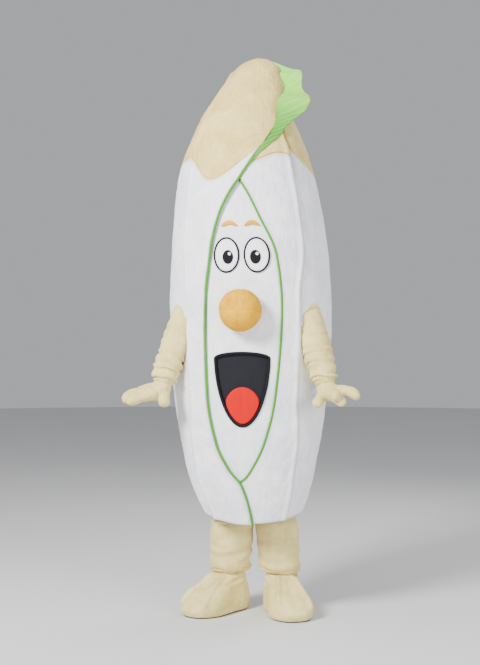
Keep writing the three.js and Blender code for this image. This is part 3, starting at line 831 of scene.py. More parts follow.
def padded_panel(name, middle, thickness, rounding, relief, seams=(), dyed=None):
    """A closed panel about a grid of middle points, with rolled edges and a relief on its outer side.

    rounding is one number or one for each of the four edges; seams names the edges near which shade is
    painted on, and dyed the one that the dye comes in from.
    """
    rows, columns = middle.shape[:2]
    outward = surface_normals(middle)
    centre = np.stack([lean(middle[..., 2]), 0 * middle[..., 2], middle[..., 2]], -1)
    if (outward * (middle - centre)).sum() < 0:
        outward = -outward
    across = np.linalg.norm(np.diff(middle, axis=1), axis=2)
    up = np.linalg.norm(np.diff(middle, axis=0), axis=2)
    left = np.concatenate([np.zeros((rows, 1)), np.cumsum(across, 1)], 1)
    low = np.concatenate([np.zeros((1, columns)), np.cumsum(up, 0)], 0)
    edges = {"left": left, "right": left[:, -1:] - left, "low": low, "high": low[-1:] - low}
    rounding = rounding if isinstance(rounding, dict) else dict.fromkeys(edges, rounding)
    share = np.ones_like(left)
    for edge, distance in edges.items():
        if rounding[edge] > 0:
            share = np.minimum(share, distance / rounding[edge])
    half = (np.sqrt(np.maximum(1 - (1 - share) ** 2, 0)) * thickness / 2)[..., None]
    lift = (relief(middle, edges) * smooth(share, 0, 1))[..., None]
    outer, inner = middle + outward * (half + lift), middle - outward * half
    seam = np.minimum.reduce([edges[edge] for edge in seams]) if seams else left * 0 + 99
    # Painted shade near the seams, where the panels meet: 1 at a seam, fading to 0 further in.
    worn = 1 - np.clip(seam / SEAM_SHADE_WIDTH, 0, 1).ravel()
    dye = np.zeros_like(left) if dyed is None else np.clip(1 - edges[dyed] / DYE_WIDTH, 0, 1)
    dye = dye.ravel()
    count = rows * columns
    faces = grid_faces(rows, columns) + grid_faces(rows, columns, count)
    ring = list(range(columns)) + [i * columns + columns - 1 for i in range(1, rows)]
    ring += list(range(count - 2, count - columns - 1, -1)) + [i * columns for i in range(rows - 2, 0, -1)]
    faces += [(a, b, count + b, count + a) for a, b in zip(ring, ring[1:] + ring[:1])]
    points = np.concatenate([outer.reshape(-1, 3), inner.reshape(-1, 3)])
    return make_mesh(name, points, faces, {"worn": np.tile(worn, 2), "dye": np.tile(dye, 2)})


def leaf_middle(foot, top, start, end, proud, columns, rows, rolled=(5, 5)):
    """The middle surface of a leaf panel as a grid. Its edges are angles that depend on height."""
    across, up = edged(columns, 260, rolled[0])[None, :], edged(rows, 1300, rolled[1])[:, None]
    z = mix(foot(across), top(across), up)
    angle = mix(start(z), end(z), across)
    return body_point(angle, z, proud(angle, z) + LEAF / 2)


def level(z):
    return lambda across: z + 0 * across


def hem(start, end):
    """The body's lower edge, which rises at the wearer's sides."""
    return lambda across: HEM_Z + HEM_RISE * np.sin(np.radians(mix(start, end, across))) ** 2


def shifted(line, by):
    return lambda across: line(across) + by


EDGE = {"left": 5, "right": 5, "low": 5, "high": 5}
HEM_RISE = 24
JOIN = 0.3  # half the gap between a white leaf and its cream tip


def leaf(name, line, top, start, end, proud, tip_proud, ridges, columns, seed, holes=(), tip=True):
    """A white leaf and the cream tip above it."""
    foot = hem(float(start(np.array(HEM_Z))), float(end(np.array(HEM_Z))))
    white = leaf_middle(foot, shifted(line, -JOIN), start, end, proud, columns, 200)
    piece = padded_panel(name, white, LEAF, {**EDGE, "high": 2}, cushioned(2.5, ridges, seed),
                         ("left", "right", "low"), "high")  # fmt: skip
    if holes:
        cut(piece, *holes)
    ready(piece, WHITE, "white_plush", name, fill=0.5)
    if tip:
        cream = leaf_middle(shifted(line, JOIN), top, start, end, tip_proud, columns, 70, (5, 12))
        relief, seams = cushioned(2.5, ridges, seed + 5), ("left", "right", "high")
        piece = padded_panel(name + "_tip", cream, LEAF, {**EDGE, "low": 2}, relief, seams)
        ready(piece, CREAM, "cream_velour", name + "_tip", fill=0.5)


# ---------- the arms' line ----------

ARM_LINE = np.array(
    [(168, -128, 1300), (223, -169, 1222), (270, -208, 1110), (304, -240, 1010), (319, -254, 952)]
)
ARMHOLE_ROOM = 4  # the gap between a sleeve and the leaf round it


def arm_line(sign, count):
    return spline(ARM_LINE * (sign, 1, 1), count)


def sleeve_radius(share):
    return mix(mix(68, 57, smooth(share, 0, 0.5)), 44, smooth(share, 0.5, 1))


def armhole(sign):
    line = arm_line(sign, 24)
    radius = (sleeve_radius(np.linspace(0, 1, 24)) + ARMHOLE_ROOM)[:, None]
    return tube("armhole_cutter", rings_along(line, radius, 40))


def front_cutter(outline):
    """A block straight through the face inside an outline, given as (across, z) points."""
    rings = np.stack([face_point(outline[:, 0], outline[:, 1], proud) for proud in (-40, -10, 20, 50)])
    return tube("opening_cutter", rings)


BROW = {"across": 47, "z": 1560, "half_width": 34, "arch": 14, "half_height": 8}
TONGUE = {"z": 835.0, "half_width": 84.0, "half_height": 105.0}
NOSE = {"z": 1235, "radius": 82, "sunk": 44}
EYE = {"across": 60, "z": 1448, "half_width": 45, "half_height": 62, "pupil": 21}
MOUTH = {"z": 1050, "half_width": 108, "rise": 22, "depth": 262}


def mouth_outline(grow, count=72):
    turn = np.linspace(0, math.tau, count, endpoint=False)
    x, y = np.cos(turn), np.sin(turn)
    tall = np.where(y > 0, MOUTH["rise"], MOUTH["depth"]) + grow
    return np.stack([x * (MOUTH["half_width"] + grow), MOUTH["z"] + y * tall], 1)


def oval(across, z, half_width, half_height, count=64):
    turn = np.linspace(0, math.tau, count, endpoint=False)
    return np.stack([across + half_width * np.cos(turn), z + half_height * np.sin(turn)], 1)


cutters = [armhole(-1), armhole(1), front_cutter(mouth_outline(-2))]
SIDES = (("right", -1), ("left", 1))


def make_leaves():
    leaf("right_front_leaf", right_line, level(SHELL_TOP_Z),
         lambda z: np.where(z < 1700, -ridge(z), hood_back_edge(z)), right_edge, right_proud, right_proud,
         (("left", 6, 17, 12), ("right", 2, 14, 12)), 52, 11, tip=False)  # fmt: skip
    leaf("left_front_leaf", left_line, level(TIP_TOP_Z), left_edge, ridge,
         even_proud("left"),
         lambda a, z: mix(PROUD["left"], PROUD["inner"], settle(z)),
         (("right", 6, 17, 12), ("left", 2, 14, 12)), 52, 21)  # fmt: skip
    for number, (side, sign) in enumerate(SIDES):
        leaf(f"{side}_side_leaf", side_line(sign), level(TIP_TOP_Z),
             lambda z, s=sign: s * inner_front(z), lambda z, s=sign: s * (BACK_ANGLE - 1) + 0 * z,
             even_proud("inner"), even_proud("inner"),
             (("right", 2, 30, 14),), 74, 31 + number, (cutters[number],))  # fmt: skip
        leaf(f"{side}_back_leaf", back_line, level(TIP_TOP_Z),
             lambda z, s=sign: s * (BACK_ANGLE - OVERLAP) + 0 * z,
             lambda z, s=sign: s * mix(178.4, 179.9, smooth(z, ZIP_TOP_Z, ZIP_TOP_Z + 25)),
             back_proud, back_proud, (("left", 5, 17, 12),), 52, 41 + number)  # fmt: skip
    middle = leaf_middle(level(540), level(1765), lambda z: right_edge(z) - 5, lambda z: left_edge(z) + 5,
                         even_proud("inner"), 52, 150)  # fmt: skip
    face = padded_panel("face_leaf", middle, LEAF, 5, cushioned(0.5, (), 51, 0.5))
    ready(cut(face, cutters[2]), WHITE, "white_plush", "face_leaf", fill=0.5)


def make_hood():
    """The cream hood: the right leaf's tip, which closes over the top of the costume."""
    across = edged(110, 420, 6)[None, :]
    steps = np.concatenate([np.linspace(0, 0.8, 100), np.linspace(0.8, 1, 60)[1:]])[:, None]
    steps[1:6, 0] = [0.0006, 0.002, 0.004, 0.006, 0.008]
    z = mix(right_line(across) + JOIN, 2248.5, steps)
    angle = mix(hood_back_edge(z), hood_front_edge(z), across)
    middle = body_point(angle, z, right_proud(angle, z) + LEAF / 2)
    top = middle[-1]
    centre = top.mean(0) + (0, 0, 0.6)
    closing = [top + (centre - top) * share for share in (0.35, 0.7, 1.0)]
    middle = np.concatenate([middle, np.stack(closing)])
    relief = cushioned(3.0, (("left", 8, 15, 10),), 61)
    piece = padded_panel("hood", middle, LEAF, {"left": 6, "right": 5, "low": 2, "high": 0}, relief,
                         ("left", "right"))  # fmt: skip
    ready(piece, CREAM, "cream_velour", "right_front_leaf_tip", "tip_pad", fill=0.7)


# ---------- green edging and frill ----------

EDGING_RADIUS = 4.5
FRILL_FOOT_Z, FRILL_TOP_Z = 1800, 2235
# The frill's rim by share of its root's length: three lobes, the lowest one longest.
frill_rim_x = through(
    [(0, 28), (0.06, 50), (0.165, 86), (0.25, 122), (0.335, 150), (0.42, 185), (0.48, 212), (0.55, 238),
     (0.62, 250), (0.68, 245), (0.74, 225), (0.8, 212), (0.88, 214), (0.93, 206), (0.955, 176), (0.975, 112),
     (1, 92)]
)  # fmt: skip
frill_rim_z = through(
    [(0, 1802), (0.06, 1834), (0.165, 1872), (0.25, 1906), (0.42, 1988), (0.55, 2045), (0.62, 2078),
     (0.74, 2120), (0.8, 2149), (0.88, 2190), (0.93, 2214), (0.955, 2220), (0.975, 2243), (1, 2251)]
)  # fmt: skip


def edging_line(edge, sign, proud, low, high, count):
    """The centre line of the cord sewn along a leaf's edge."""
    z = np.linspace(low, high, count)
    line = body_point(edge(z), z, proud(edge(z), z) + LEAF / 2)
    along = unit(np.gradient(line, axis=0))
    outward = unit(line * (1, 1, 0))
    return line + np.cross(along, outward) * sign * (EDGING_RADIUS - 0.6)


def make_edging():
    for side, edge, sign, proud, low, high in (
        ("right", right_edge, 1, right_proud, 402, 1835),
        ("left", left_edge, -1, even_proud("left"), 440, 1800),
    ):
        line = edging_line(edge, sign, proud, low, high, 320)
        cord = laid_cord(f"{side}_leaf_edging", line, EDGING_RADIUS, CORD_GREEN)
        ready(cord, CORD_GREEN, "green_edging", f"{side}_leaf_edging")
        points, ways = spaced(line, 9)
        inward = -np.cross(ways, unit(points * (1, 1, 0))) * sign
        lifted = points + inward * 9 + unit(points * (1, 1, 0)) * 2.6
        stitched = beads(f"{side}_edging_stitches", lifted, ways, 5, 1.1, WHITE_FELT)
        ready(stitched, WHITE_FELT, "white_felt")


def make_frill():
    """The leaf's green margin, sewn under the hood's edge and standing out in soft scallops."""
    share, out = np.linspace(0, 1, 340)[:, None], np.linspace(0, 1, 40)[None, :]
    z = mix(FRILL_FOOT_Z, FRILL_TOP_Z, share)
    angle = np.minimum(hood_front_edge(z), 70) - mix(1.5, 4, smooth(share, 0, 0.3))
    root = body_point(angle, z, right_proud(angle, z) - 2.5)
    reach = np.maximum(frill_rim_x(share) - root[..., 0], 2)
    rise = frill_rim_z(share) - root[..., 2]
    length = np.hypot(reach, rise)
    wave = (5 * np.sin(share * 27) + 2.5 * out * np.sin(share * 64 + 1)) * out * smooth(length, 15, 60)
    back = 0.2 * length * out + wave - 7 * smooth(out, 0, 0.25) * smooth(length, 60, 15)
    middle = root + np.stack([reach * out, back, rise * out], -1)
    rays = np.sin(share * 110 - out * 14 + 3 * np.sin(share * 17)) * 0.5 + 0.5
    veins = rays**3 * smooth(out, 0.1, 0.5)
    relief = lambda points, edges: 0.25 * veins + 0.5 * ripples(points, 40, 71)
    piece = padded_panel("hood_frill", middle, LEAF, 3.5, relief)
    values = np.tile(veins.ravel(), 2)
    ready(add_values(piece, "vein", middle, values), GREEN, "green_edging", "hood_frill")


def add_values(piece, name, middle, values):
    """Gives a piece an attribute from the nearest of a grid's values."""
    spots = middle.reshape(-1, 3) * MM + AXIS
    tree = KDTree(len(spots))
    for i, spot in enumerate(spots):
        tree.insert(spot, i)
    tree.balance()
    found = [values[tree.find(v.co)[1]] for v in piece.data.vertices]
    piece.data.attributes.new(name, "FLOAT", "POINT").data.foreach_set("value", found)
    return piece


# ---------- the face ----------


def patch(name, outline, proud, thickness, rounding=2.0, relief=None, rings=14):
    """A closed plate of felt or padded fabric laid on the face inside an outline of (across, z) points."""
    outline = np.asarray(outline, float)
    centre = outline.mean(0)
    shares = np.concatenate([[0.0], 1 - (1 - np.linspace(0.06, 1, rings)) ** 1.6])
    across = centre[0] + (outline[None, :, 0] - centre[0]) * shares[:, None]
    z = centre[1] + (outline[None, :, 1] - centre[1]) * shares[:, None]
    reach = np.linalg.norm(outline - centre, axis=1)[None, :] * (1 - shares[:, None])
    share = np.clip(reach / rounding, 0, 1)
    half = np.sqrt(np.maximum(1 - (1 - share) ** 2, 0)) * thickness / 2
    lift = 0 if relief is None else relief(across, z) * smooth(share, 0, 1)
    middle = proud + thickness / 2
    outer = face_point(across, z, middle + half + lift)
    inner = face_point(across, z, middle - half)
    count, sides = across.shape
    points = np.concatenate([outer.reshape(-1, 3), inner.reshape(-1, 3)])
    faces = grid_faces(count, sides, wrap=True) + grid_faces(count, sides, count * sides, wrap=True)
    return make_mesh(name, points, faces)


def face_line(outline, proud):
    return face_point(outline[:, 0], outline[:, 1], proud)


def brow_outline(sign, count=60):
    turn = np.linspace(0, math.tau, count, endpoint=False)
    x, y = np.cos(turn), np.sin(turn)
    across = sign * BROW["across"] + x * BROW["half_width"]
    return np.stack([across, BROW["z"] + BROW["arch"] * (1 - x * x) + y * BROW["half_height"]], 1)


def brow_crown(sign):
    def crown(across, _):
        share = (across - sign * BROW["across"]) / BROW["half_width"]
        return 2.0 * np.sqrt(np.maximum(1 - share**2, 0))

    return crown


def tongue_outline(count=90):
    """The tongue's rounded top, and the mouth's own edge below it."""
    turn = np.linspace(0, math.tau, count, endpoint=False)
    way = np.stack([np.cos(turn), np.sin(turn)], 1)
    half = np.array([TONGUE["half_width"], TONGUE["half_height"]])
    free = 1 / np.sqrt(((way / half) ** 2).sum(1))
    room = np.array([MOUTH["half_width"] - 7.0, MOUTH["depth"] - 7.0])
    start = np.array([0, TONGUE["z"] - MOUTH["z"]])
    a, b = ((way / room) ** 2).sum(1), 2 * (way * start / room**2).sum(1)
    c = ((start / room) ** 2).sum() - 1
    inside = (-b + np.sqrt(b * b - 4 * a * c)) / (2 * a)
    reach = (free**-12 + inside**-12) ** (-1 / 12)
    return way * reach[:, None] + (0, TONGUE["z"])


def make_nose():
    """A stuffed ball sewn from four gores, flat where it meets the face."""
    radius, back = NOSE["radius"], -(PROFILE[:, 0].max() * BODY_DEPTH + PROUD["felt"] + 1)
    up, turn = np.linspace(-90, 90, 90)[:, None], np.linspace(0, 360, 144, endpoint=False)[None, :]
    s, c = np.sin(np.radians(up)), np.cos(np.radians(up))
    way = np.stack([c * np.sin(np.radians(turn)), -s + 0 * turn, c * np.cos(np.radians(turn))], -1)
    seam = np.abs((turn + 45) % 90 - 45) * c * radius * math.pi / 180
    groove = -2.2 * np.exp(-((seam / 3.2) ** 2)) * smooth(c, 0.05, 0.3)
    reach = radius + groove + 0.9 * ripples(way * radius, 60, 81)
    points = way * reach[..., None] + (0, back - NOSE["sunk"], NOSE["z"])
    points[..., 1] = np.minimum(points[..., 1], back + 2.5 * (points[..., 1] > back))
    piece = make_mesh("nose", points.reshape(-1, 3), grid_faces(*points.shape[:2], wrap=True))
    ready(piece, GOLD, "orange_plush", "nose", fill=0.9)


def make_face():
    for side, sign in SIDES:
        across, z = sign * EYE["across"], EYE["z"]
        plate = oval(across, z, EYE["half_width"], EYE["half_height"])
        ready(patch(f"{side}_eye", plate, PROUD["felt"], 2.5), WHITE_FELT, "white_felt", f"{side}_eye")
        rim = oval(across, z, EYE["half_width"] + 4, EYE["half_height"] + 4, 120)
        cord = laid_cord(f"{side}_eye_rim", face_line(rim, PROUD["felt"] + 2.5), 3.2, BLACK, True)
        ready(cord, BLACK, "black_felt", f"{side}_eye_rim")
        pupil = oval(across * 0.9, z - 8, EYE["pupil"], EYE["pupil"] + 6)
        piece = patch(f"{side}_pupil", pupil, PROUD["felt"] + 3.2, 2.6, 2.5)
        ready(piece, BLACK, "black_felt", f"{side}_pupil")
        glint = oval(across * 0.9 + 7, z + 4, 6, 6, 28)
        piece = patch(f"{side}_eye_glint", glint, PROUD["felt"] + 6.2, 1.6, 1.4, rings=6)
        ready(piece, WHITE_FELT, "white_felt", f"{side}_eye_glint")
        brow = patch(f"{side}_brow", brow_outline(sign), PROUD["felt"], 4, 3, brow_crown(sign))
        ready(brow, GOLD, "orange_plush", f"{side}_brow", fill=0.7)
        stitched_at = EYE["half_width"] - 4, EYE["half_height"] - 4
        points, ways = spaced(face_line(oval(across, z, *stitched_at, 160), PROUD["felt"] + 2.7), 8)
        stitched = beads(f"{side}_eye_stitches", points, ways, 4, 0.9, BLACK)
        ready(stitched, BLACK, "black_felt")
    screen = patch("mouth_mesh", mouth_outline(10), 0.6, 1.2, 1.0)
    ready(screen, SCREEN, "black_felt", "mouth_mesh")
    lip = laid_cord("mouth_lip", face_line(mouth_outline(0, 200), PROUD["felt"] + 0.2), 5, BLACK, True)
    ready(lip, BLACK, "black_felt", "mouth_lip")
    crease = lambda a, z: 2.2 * (1 - np.exp(-((a / 9) ** 2)) * smooth(z, 800, 890))
    tongue = patch("tongue", tongue_outline(), 3.4, 4.5, 6, crease, 26)
    ready(tongue, RED, "red_felt", "tongue", fill=0.5)
    make_nose()


# ---------- sleeves and gloves ----------


def gathers(points, share, turn, spacing, lean_by, seed):
    """Depth from -1 to 1 of folds that lie across a tube, tilted and uneven as gathered fabric is."""
    run = points * math.tau / spacing + 0.8 * np.sin(points * 4.1 / spacing + seed)
    bend = lean_by * np.sin(turn + seed) + 1.3 * np.sin(2 * turn + 2.1 * seed + 5 * share)
    round_about = np.sin(turn * 2 + share * 11 + seed)
    along = np.sin(points * 2.3 / spacing + turn + 2 * seed)
    return np.sin(run + bend) * (0.35 + 0.65 * (0.5 + 0.5 * round_about * along))


def make_sleeve(side, sign):
    rows, sides = 120, 84
    line = arm_line(sign, rows)
    share = np.linspace(0, 1, rows)[:, None]
    length = np.linalg.norm(np.diff(line, axis=0), axis=1).sum()
    turn = np.linspace(0, math.tau, sides, endpoint=False)[None, :]
    smooth_radius = sleeve_radius(share) - 9 * smooth(share, 0.93, 1)
    depth = 0.4 + 1.6 * smooth(share, 0.12, 0.3) + 2.6 * smooth(share, 0.55, 0.85)
    depth = depth - 3 * smooth(share, 0.95, 1.0)
    folds = depth * gathers(share * length, share, turn, 33, 1.6, 3 + sign)
    outer = rings_along(line, smooth_radius + 2 + folds, sides)
    held = np.clip(smooth(share[:, 0], 0.12, 0) + smooth(share[:, 0], 0.97, 1), 0, 1)
    outer = settled(outer, held, -0.10, cap=8)
    inner = rings_along(line, sleeve_radius(share) - 11 - 4 * smooth(share, 0.93, 1) + 0 * turn, sides)
    piece = wall(f"{side}_sleeve", outer, inner)
    ready(piece, LIMB, "cream_velour", f"{side}_sleeve", fill=0.2)


DIGITS = {
    "right": [((-345, -262, 935), (-413, -280, 915), (-472, -292, 888), 22),
              ((-345, -282, 925), (-410, -305, 905), (-466, -316, 884), 21),
              ((-340, -298, 912), (-400, -328, 896), (-446, -340, 880), 20),
              ((-318, -268, 925), (-310, -290, 895), (-308, -302, 862), 23)],
    "left": [((348, -268, 924), (405, -290, 926), (448, -302, 900), 21),
             ((345, -282, 918), (358, -335, 915), (362, -372, 908), 20),
             ((345, -276, 910), (372, -318, 894), (392, -346, 882), 19),
             ((318, -268, 920), (298, -294, 892), (288, -312, 866), 21)],
}  # fmt: skip


PALM = {"place": (334, -268, 922), "size": (50, 41, 35), "tilt": 0.45}


def finger(root, knuckle, tip, radius):
    """A stuffed finger with a round end and soft creases at its joints."""
    line = spline([root, knuckle, tip], 40)
    share = np.linspace(0, 1, 40)[:, None]
    round_end = np.sqrt(np.clip(1 - ((share - 0.72) / 0.28).clip(0) ** 2, 0.0, 1))
    crease = 1 - 0.07 * np.exp(-(((share - 0.5) / 0.05) ** 2)) + 0.03 * np.sin(share * 9)
    return tube("finger", rings_along(line, radius * np.maximum(round_end, 0.05) * crease, 28))


def make_glove(side, sign):
    wrist = spline(np.array([(306, -242, 1002), (319, -255, 955), (330, -266, 925)]) * (sign, 1, 1), 30)
    parts = [tube("wrist", rings_along(wrist, np.linspace(31, 33, 30)[:, None], 40))]
    up = np.radians(np.linspace(-90, 90, 30)[:, None])
    turn = np.radians(np.linspace(0, 360, 48, endpoint=False)[None, :])
    shape = np.stack([np.cos(up) * np.cos(turn), np.cos(up) * np.sin(turn), np.sin(up) + 0 * turn])
    x, y, z = shape * np.reshape(PALM["size"], (3, 1, 1))
    s, c = math.sin(PALM["tilt"] * sign), math.cos(PALM["tilt"] * sign)
    ball = np.stack([x * c + z * s, y, z * c - x * s], -1) + PALM["place"] * np.array([sign, 1, 1])
    parts.append(make_mesh("palm", ball.reshape(-1, 3), grid_faces(30, 48, wrap=True)))
    parts += [finger(*digit) for digit in DIGITS[side]]
    piece = merged(f"{side}_glove", parts)
    piece = remeshed(piece, 0.0032, 6)
    start = read_points(piece)
    run_cloth(piece, -0.03, STUFFED)
    limited(piece, start, 0.004)
    soft_noise(piece, 0.0007, 26, 91)
    ready(piece, LIMB, "cream_velour", f"{side}_glove", fill=0.7)


def merged(name, parts):
    """Several closed pieces as one object."""
    built = bmesh.new()
    for part in parts:
        built.from_mesh(part.data)
        bpy.data.objects.remove(part)
    mesh = bpy.data.meshes.new(name)
    built.to_mesh(mesh)
    built.free()
    return shown(name, mesh)


def remeshed(piece, voxel, passes):
    """One skin over a piece's overlapping parts, softened where they meet."""
    modifier = piece.modifiers.new("skin", "REMESH")
    modifier.mode, modifier.voxel_size, modifier.use_smooth_shade = "VOXEL", voxel, True
    soft = piece.modifiers.new("soft", "SMOOTH")
    soft.factor, soft.iterations = 0.6, passes
    return kept_shape(piece)


def limited(piece, start, cap):
    """Keeps a simulated shape, no point further than cap metres from where it started."""
    shift = read_points(piece) - start
    piece.modifiers.clear()
    length = np.linalg.norm(shift, axis=1, keepdims=True)
    moved = start + shift * np.minimum(1, cap / np.maximum(length, 1e-9))
    piece.data.vertices.foreach_set("co", moved.ravel())
    piece.data.update()


def soft_noise(piece, depth, size, seed):
    count = len(piece.data.vertices)
    spots, normals = np.empty(count * 3), np.empty(count * 3)
    piece.data.vertices.foreach_get("co", spots)
    piece.data.vertices.foreach_get("normal", normals)
    spots, normals = spots.reshape(-1, 3), normals.reshape(-1, 3)
    moved = spots + normals * (ripples(spots / MM, size, seed) * depth)[:, None]
    piece.data.vertices.foreach_set("co", moved.ravel())
    piece.data.update()


# ---------- trousers and braces ----------

LEG_WALL = 5
CUFF_Z, LEG_TOP_Z = 165, 620
SEAT = {"half_width": 168, "half_depth": 122, "y": 15}
leg_x = through([(165, 106), (250, 100), (340, 95), (393, 90), (430, 88), (620, 86)])
leg_y = through([(165, 70), (400, 34), (470, 30), (620, 15)])
leg_radius = through(
    [(165, 77), (200, 81), (250, 83), (340, 84), (375, 82), (396, 74), (430, 72.5), (620, 80)]
)  # fmt: skip


def leg_rings(sign, heights, inset, sides, folds=0.0):
    turn = np.linspace(0, math.tau, sides, endpoint=False)[None, :]
    z = np.asarray(heights, float)[:, None]
    at = np.maximum(z, CUFF_Z)
    radius = leg_radius(at) - inset + folds
    x = LEGS_SHIFT + sign * leg_x(at) + radius * np.sin(turn)
    y = leg_y(at) - radius * np.cos(turn)
    return np.stack([x, y, z + 0 * turn], -1)


def leg_folds(sign, z, turn):
    """Soft slanting creases: loose below the body, gathered over the boot."""
    share = (z - CUFF_Z) / 250
    swag = 4.6 * gathers(z, share, turn, 66, 2.0, 5 + 2 * sign) * (0.4 + 0.6 * smooth(z, 300, 200))
    return swag * smooth(z, 640, 460) * smooth(z, 164, 185)


def make_trousers():
    parts, hollows = [], []
    for _, sign in SIDES:
        heights = np.concatenate([np.linspace(CUFF_Z, 440, 90), np.linspace(446, LEG_TOP_Z, 26)])
        turn = np.linspace(0, math.tau, 96, endpoint=False)[None, :]
        outer = leg_rings(sign, heights, -1, 96, leg_folds(sign, heights[:, None], turn))
        held = np.clip(smooth(heights, 172, CUFF_Z) + smooth(heights, 430, 470), 0, 1)
        outer = settled(outer, held, -0.07, cap=7)
        parts.append(tube("leg", outer))
        inner = leg_rings(sign, np.linspace(150, LEG_TOP_Z, 30), LEG_WALL + 7, 48)
        hollows.append(tube("leg_inside", inner))
    for name, inset, low, high, kept in (("seat", 0, 540, 985, parts), ("inside", 5, 548, 995, hollows)):
        turn = np.linspace(0, math.tau, 96, endpoint=False)[None, :]
        z = np.linspace(low, high, 40)[:, None]
        folds = 0 if inset else 2.5 * gathers(turn * 160, z / 400, z / 120, 34, 1.0, 2) * smooth(z, 700, 985)
        wide, deep = SEAT["half_width"] - inset + folds - 2, SEAT["half_depth"] - inset + folds - 2
        x, y = LEGS_SHIFT + wide * np.sin(turn) + 0 * z, SEAT["y"] - deep * np.cos(turn) + 0 * z
        kept.append(tube(name, np.stack([x, y, z + 0 * turn], -1)))
    piece = parts[0]
    for part in parts[1:]:
        join(piece, part, "UNION")
    for hollow in hollows:
        join(piece, hollow, "DIFFERENCE")
    piece.name = "trousers"
    sealed(piece.data, CUT_REACH)
    ready(piece, LIMB, "cream_velour", "trousers", "right_trouser_leg", "left_trouser_leg", fill=0.2)


def join(piece, other, operation):
    modifier = piece.modifiers.new("join", "BOOLEAN")
    modifier.operation, modifier.solver, modifier.object = operation, "EXACT", other
    kept_shape(piece)
    bpy.data.objects.remove(other)


def ring_line(half_width, half_depth, z, x=0.0, y=0.0, count=160):
    turn = np.linspace(0, math.tau, count, endpoint=False)
    return np.stack([x + half_width * np.sin(turn), y - half_depth * np.cos(turn), 0 * turn + z], 1)


def strap_line(half_span, foot, spring, top, count=120):
    """(y, z) points along the middle of a strap that goes over a shoulder."""
    turn = np.linspace(math.pi, 0, 70)
    arc = np.stack([half_span * np.cos(turn), spring + (top - spring) * np.sin(turn)], 1)
    ends = np.array([[-half_span, foot]]), np.array([[half_span, foot]])
    return spline(np.concatenate([ends[0], arc, ends[1]]) @ np.array([[0, 1, 0], [0, 0, 1]]), count)


def make_strap(name, x, width, thickness, half_span, foot, spring, top, y=0.0):
    line = strap_line(half_span - thickness / 2, foot, spring, top - thickness / 2)
    across = (edged(8, width, 2) - 0.5)[None, :] * width
    middle = line[:, None, :] + np.stack([x + across, 0 * across + y, 0 * across], -1)
    relief = lambda p, e: 0.5 * np.cos(np.clip(e["left"] / 2.5, 0, 3)) + 0.3 * ripples(p, 60, 7)
    piece = padded_panel(name, middle, thickness, 1.2, relief)
    ready(piece, WEBBING, "webbing", name)


BRACE = {"width": 36, "thickness": 3, "half_span": 146, "foot": 945, "spring": 1150, "top": 1372, "y": 15}
SHOULDER_STRAP = {"width": 56, "thickness": 10, "half_span": 266, "foot": 1165, "spring": 1200, "top": 1408}
HOOPS = (("hem", 470), ("hip", 930), ("chest", 1345), ("crown", 1600))


def make_inside():
    for side, sign in SIDES:
        make_strap(f"{side}_brace", LEGS_SHIFT + sign * 55, **BRACE)
        make_strap(f"{side}_shoulder_strap", sign * 106, **SHOULDER_STRAP)
    band = ring_line(SEAT["half_width"] + 9, SEAT["half_depth"] + 9, 971, LEGS_SHIFT, SEAT["y"])
    ready(laid_cord("waist_elastic", band, 7, ELASTIC, True), ELASTIC, "waist_elastic", "waist_elastic")
    for name, z in HOOPS:
        half = float(np.interp(z, OUTLINE_HEIGHTS, OUTLINE[:, 0])) - 24
        ring = ring_line(half, half * BODY_DEPTH, z, float(lean(z)))
        ready(laid_cord(f"{name}_hoop", ring, 6, ROD, True), ROD, "hoop_rod", f"{name}_hoop")
        points, _ = spaced(ring, 90)
        ways = unit(points * (1, 1, 0) - (lean(z), 0, 0))
        loops = beads(f"{name}_hoop_casing", points, np.cross(ways, (0, 0, 1)), 34, 15, ELASTIC, 10)
        ready(loops, ELASTIC, "waist_elastic")


def make_foam():
    """The hollow foam shell that carries the leaves, closed above the wearer's head."""
    turn = np.linspace(-180, 180, 128, endpoint=False)[None, :]
    outside = body_point(turn, np.linspace(HEM_Z, SHELL_TOP_Z, 150)[:, None], FOAM_PROUD)
    inside = body_point(turn, np.linspace(HEM_Z + 1, SHELL_TOP_Z - 70, 140)[:, None], FOAM_PROUD - FOAM)
    top = [outside[-1].mean(0) + (outside[-1] - outside[-1].mean(0)) * s for s in (0.6, 0.2, 0)]
    roof = [inside[-1].mean(0) + (inside[-1] - inside[-1].mean(0)) * s for s in (0, 0.2, 0.6)]
    outer = np.concatenate([outside, np.stack(top)])
    inner = np.concatenate([np.stack(roof), inside[::-1]])
    count = outer.shape[1]
    faces = grid_faces(len(outer), count, wrap=True)
    faces += grid_faces(len(inner), count, len(outer) * count, wrap=True)
    last = (len(outer) + len(inner) - 1) * count
    faces += [(last + j, last + (j + 1) % count, (j + 1) % count, j) for j in range(count)]
    piece = make_mesh("foam_shell", np.concatenate([outer, inner]).reshape(-1, 3), faces)
    cut(piece, *cutters)
    ready(piece, FOAM_FINISH, "body_foam", "foam_body", fill=0.9)


# ---------- boots ----------

BOOT = {"x": 108, "y": 70, "low": 5, "sole": 9, "floor": 18, "top": 215, "wall": 12}
BOOT_TURN = {"right": -37, "left": 20}
BOOT_SEAM_ROW = 6
TOE_RIDGE = {"height": 12, "width": 9, "from_middle": 14, "spread": 0.24}
TOE_VALLEY = {"depth": 5, "width": 14}
boot_front = through(
    [(9, 240), (30, 246), (52, 237), (78, 206), (105, 158), (135, 103), (165, 63), (215, 60)]
)  # fmt: skip
boot_back = through([(9, 90), (45, 94), (75, 90), (105, 80), (135, 70), (165, 61), (215, 58)])
boot_side = through([(9, 72), (45, 76), (75, 74), (105, 71), (135, 67), (165, 61), (215, 58)])


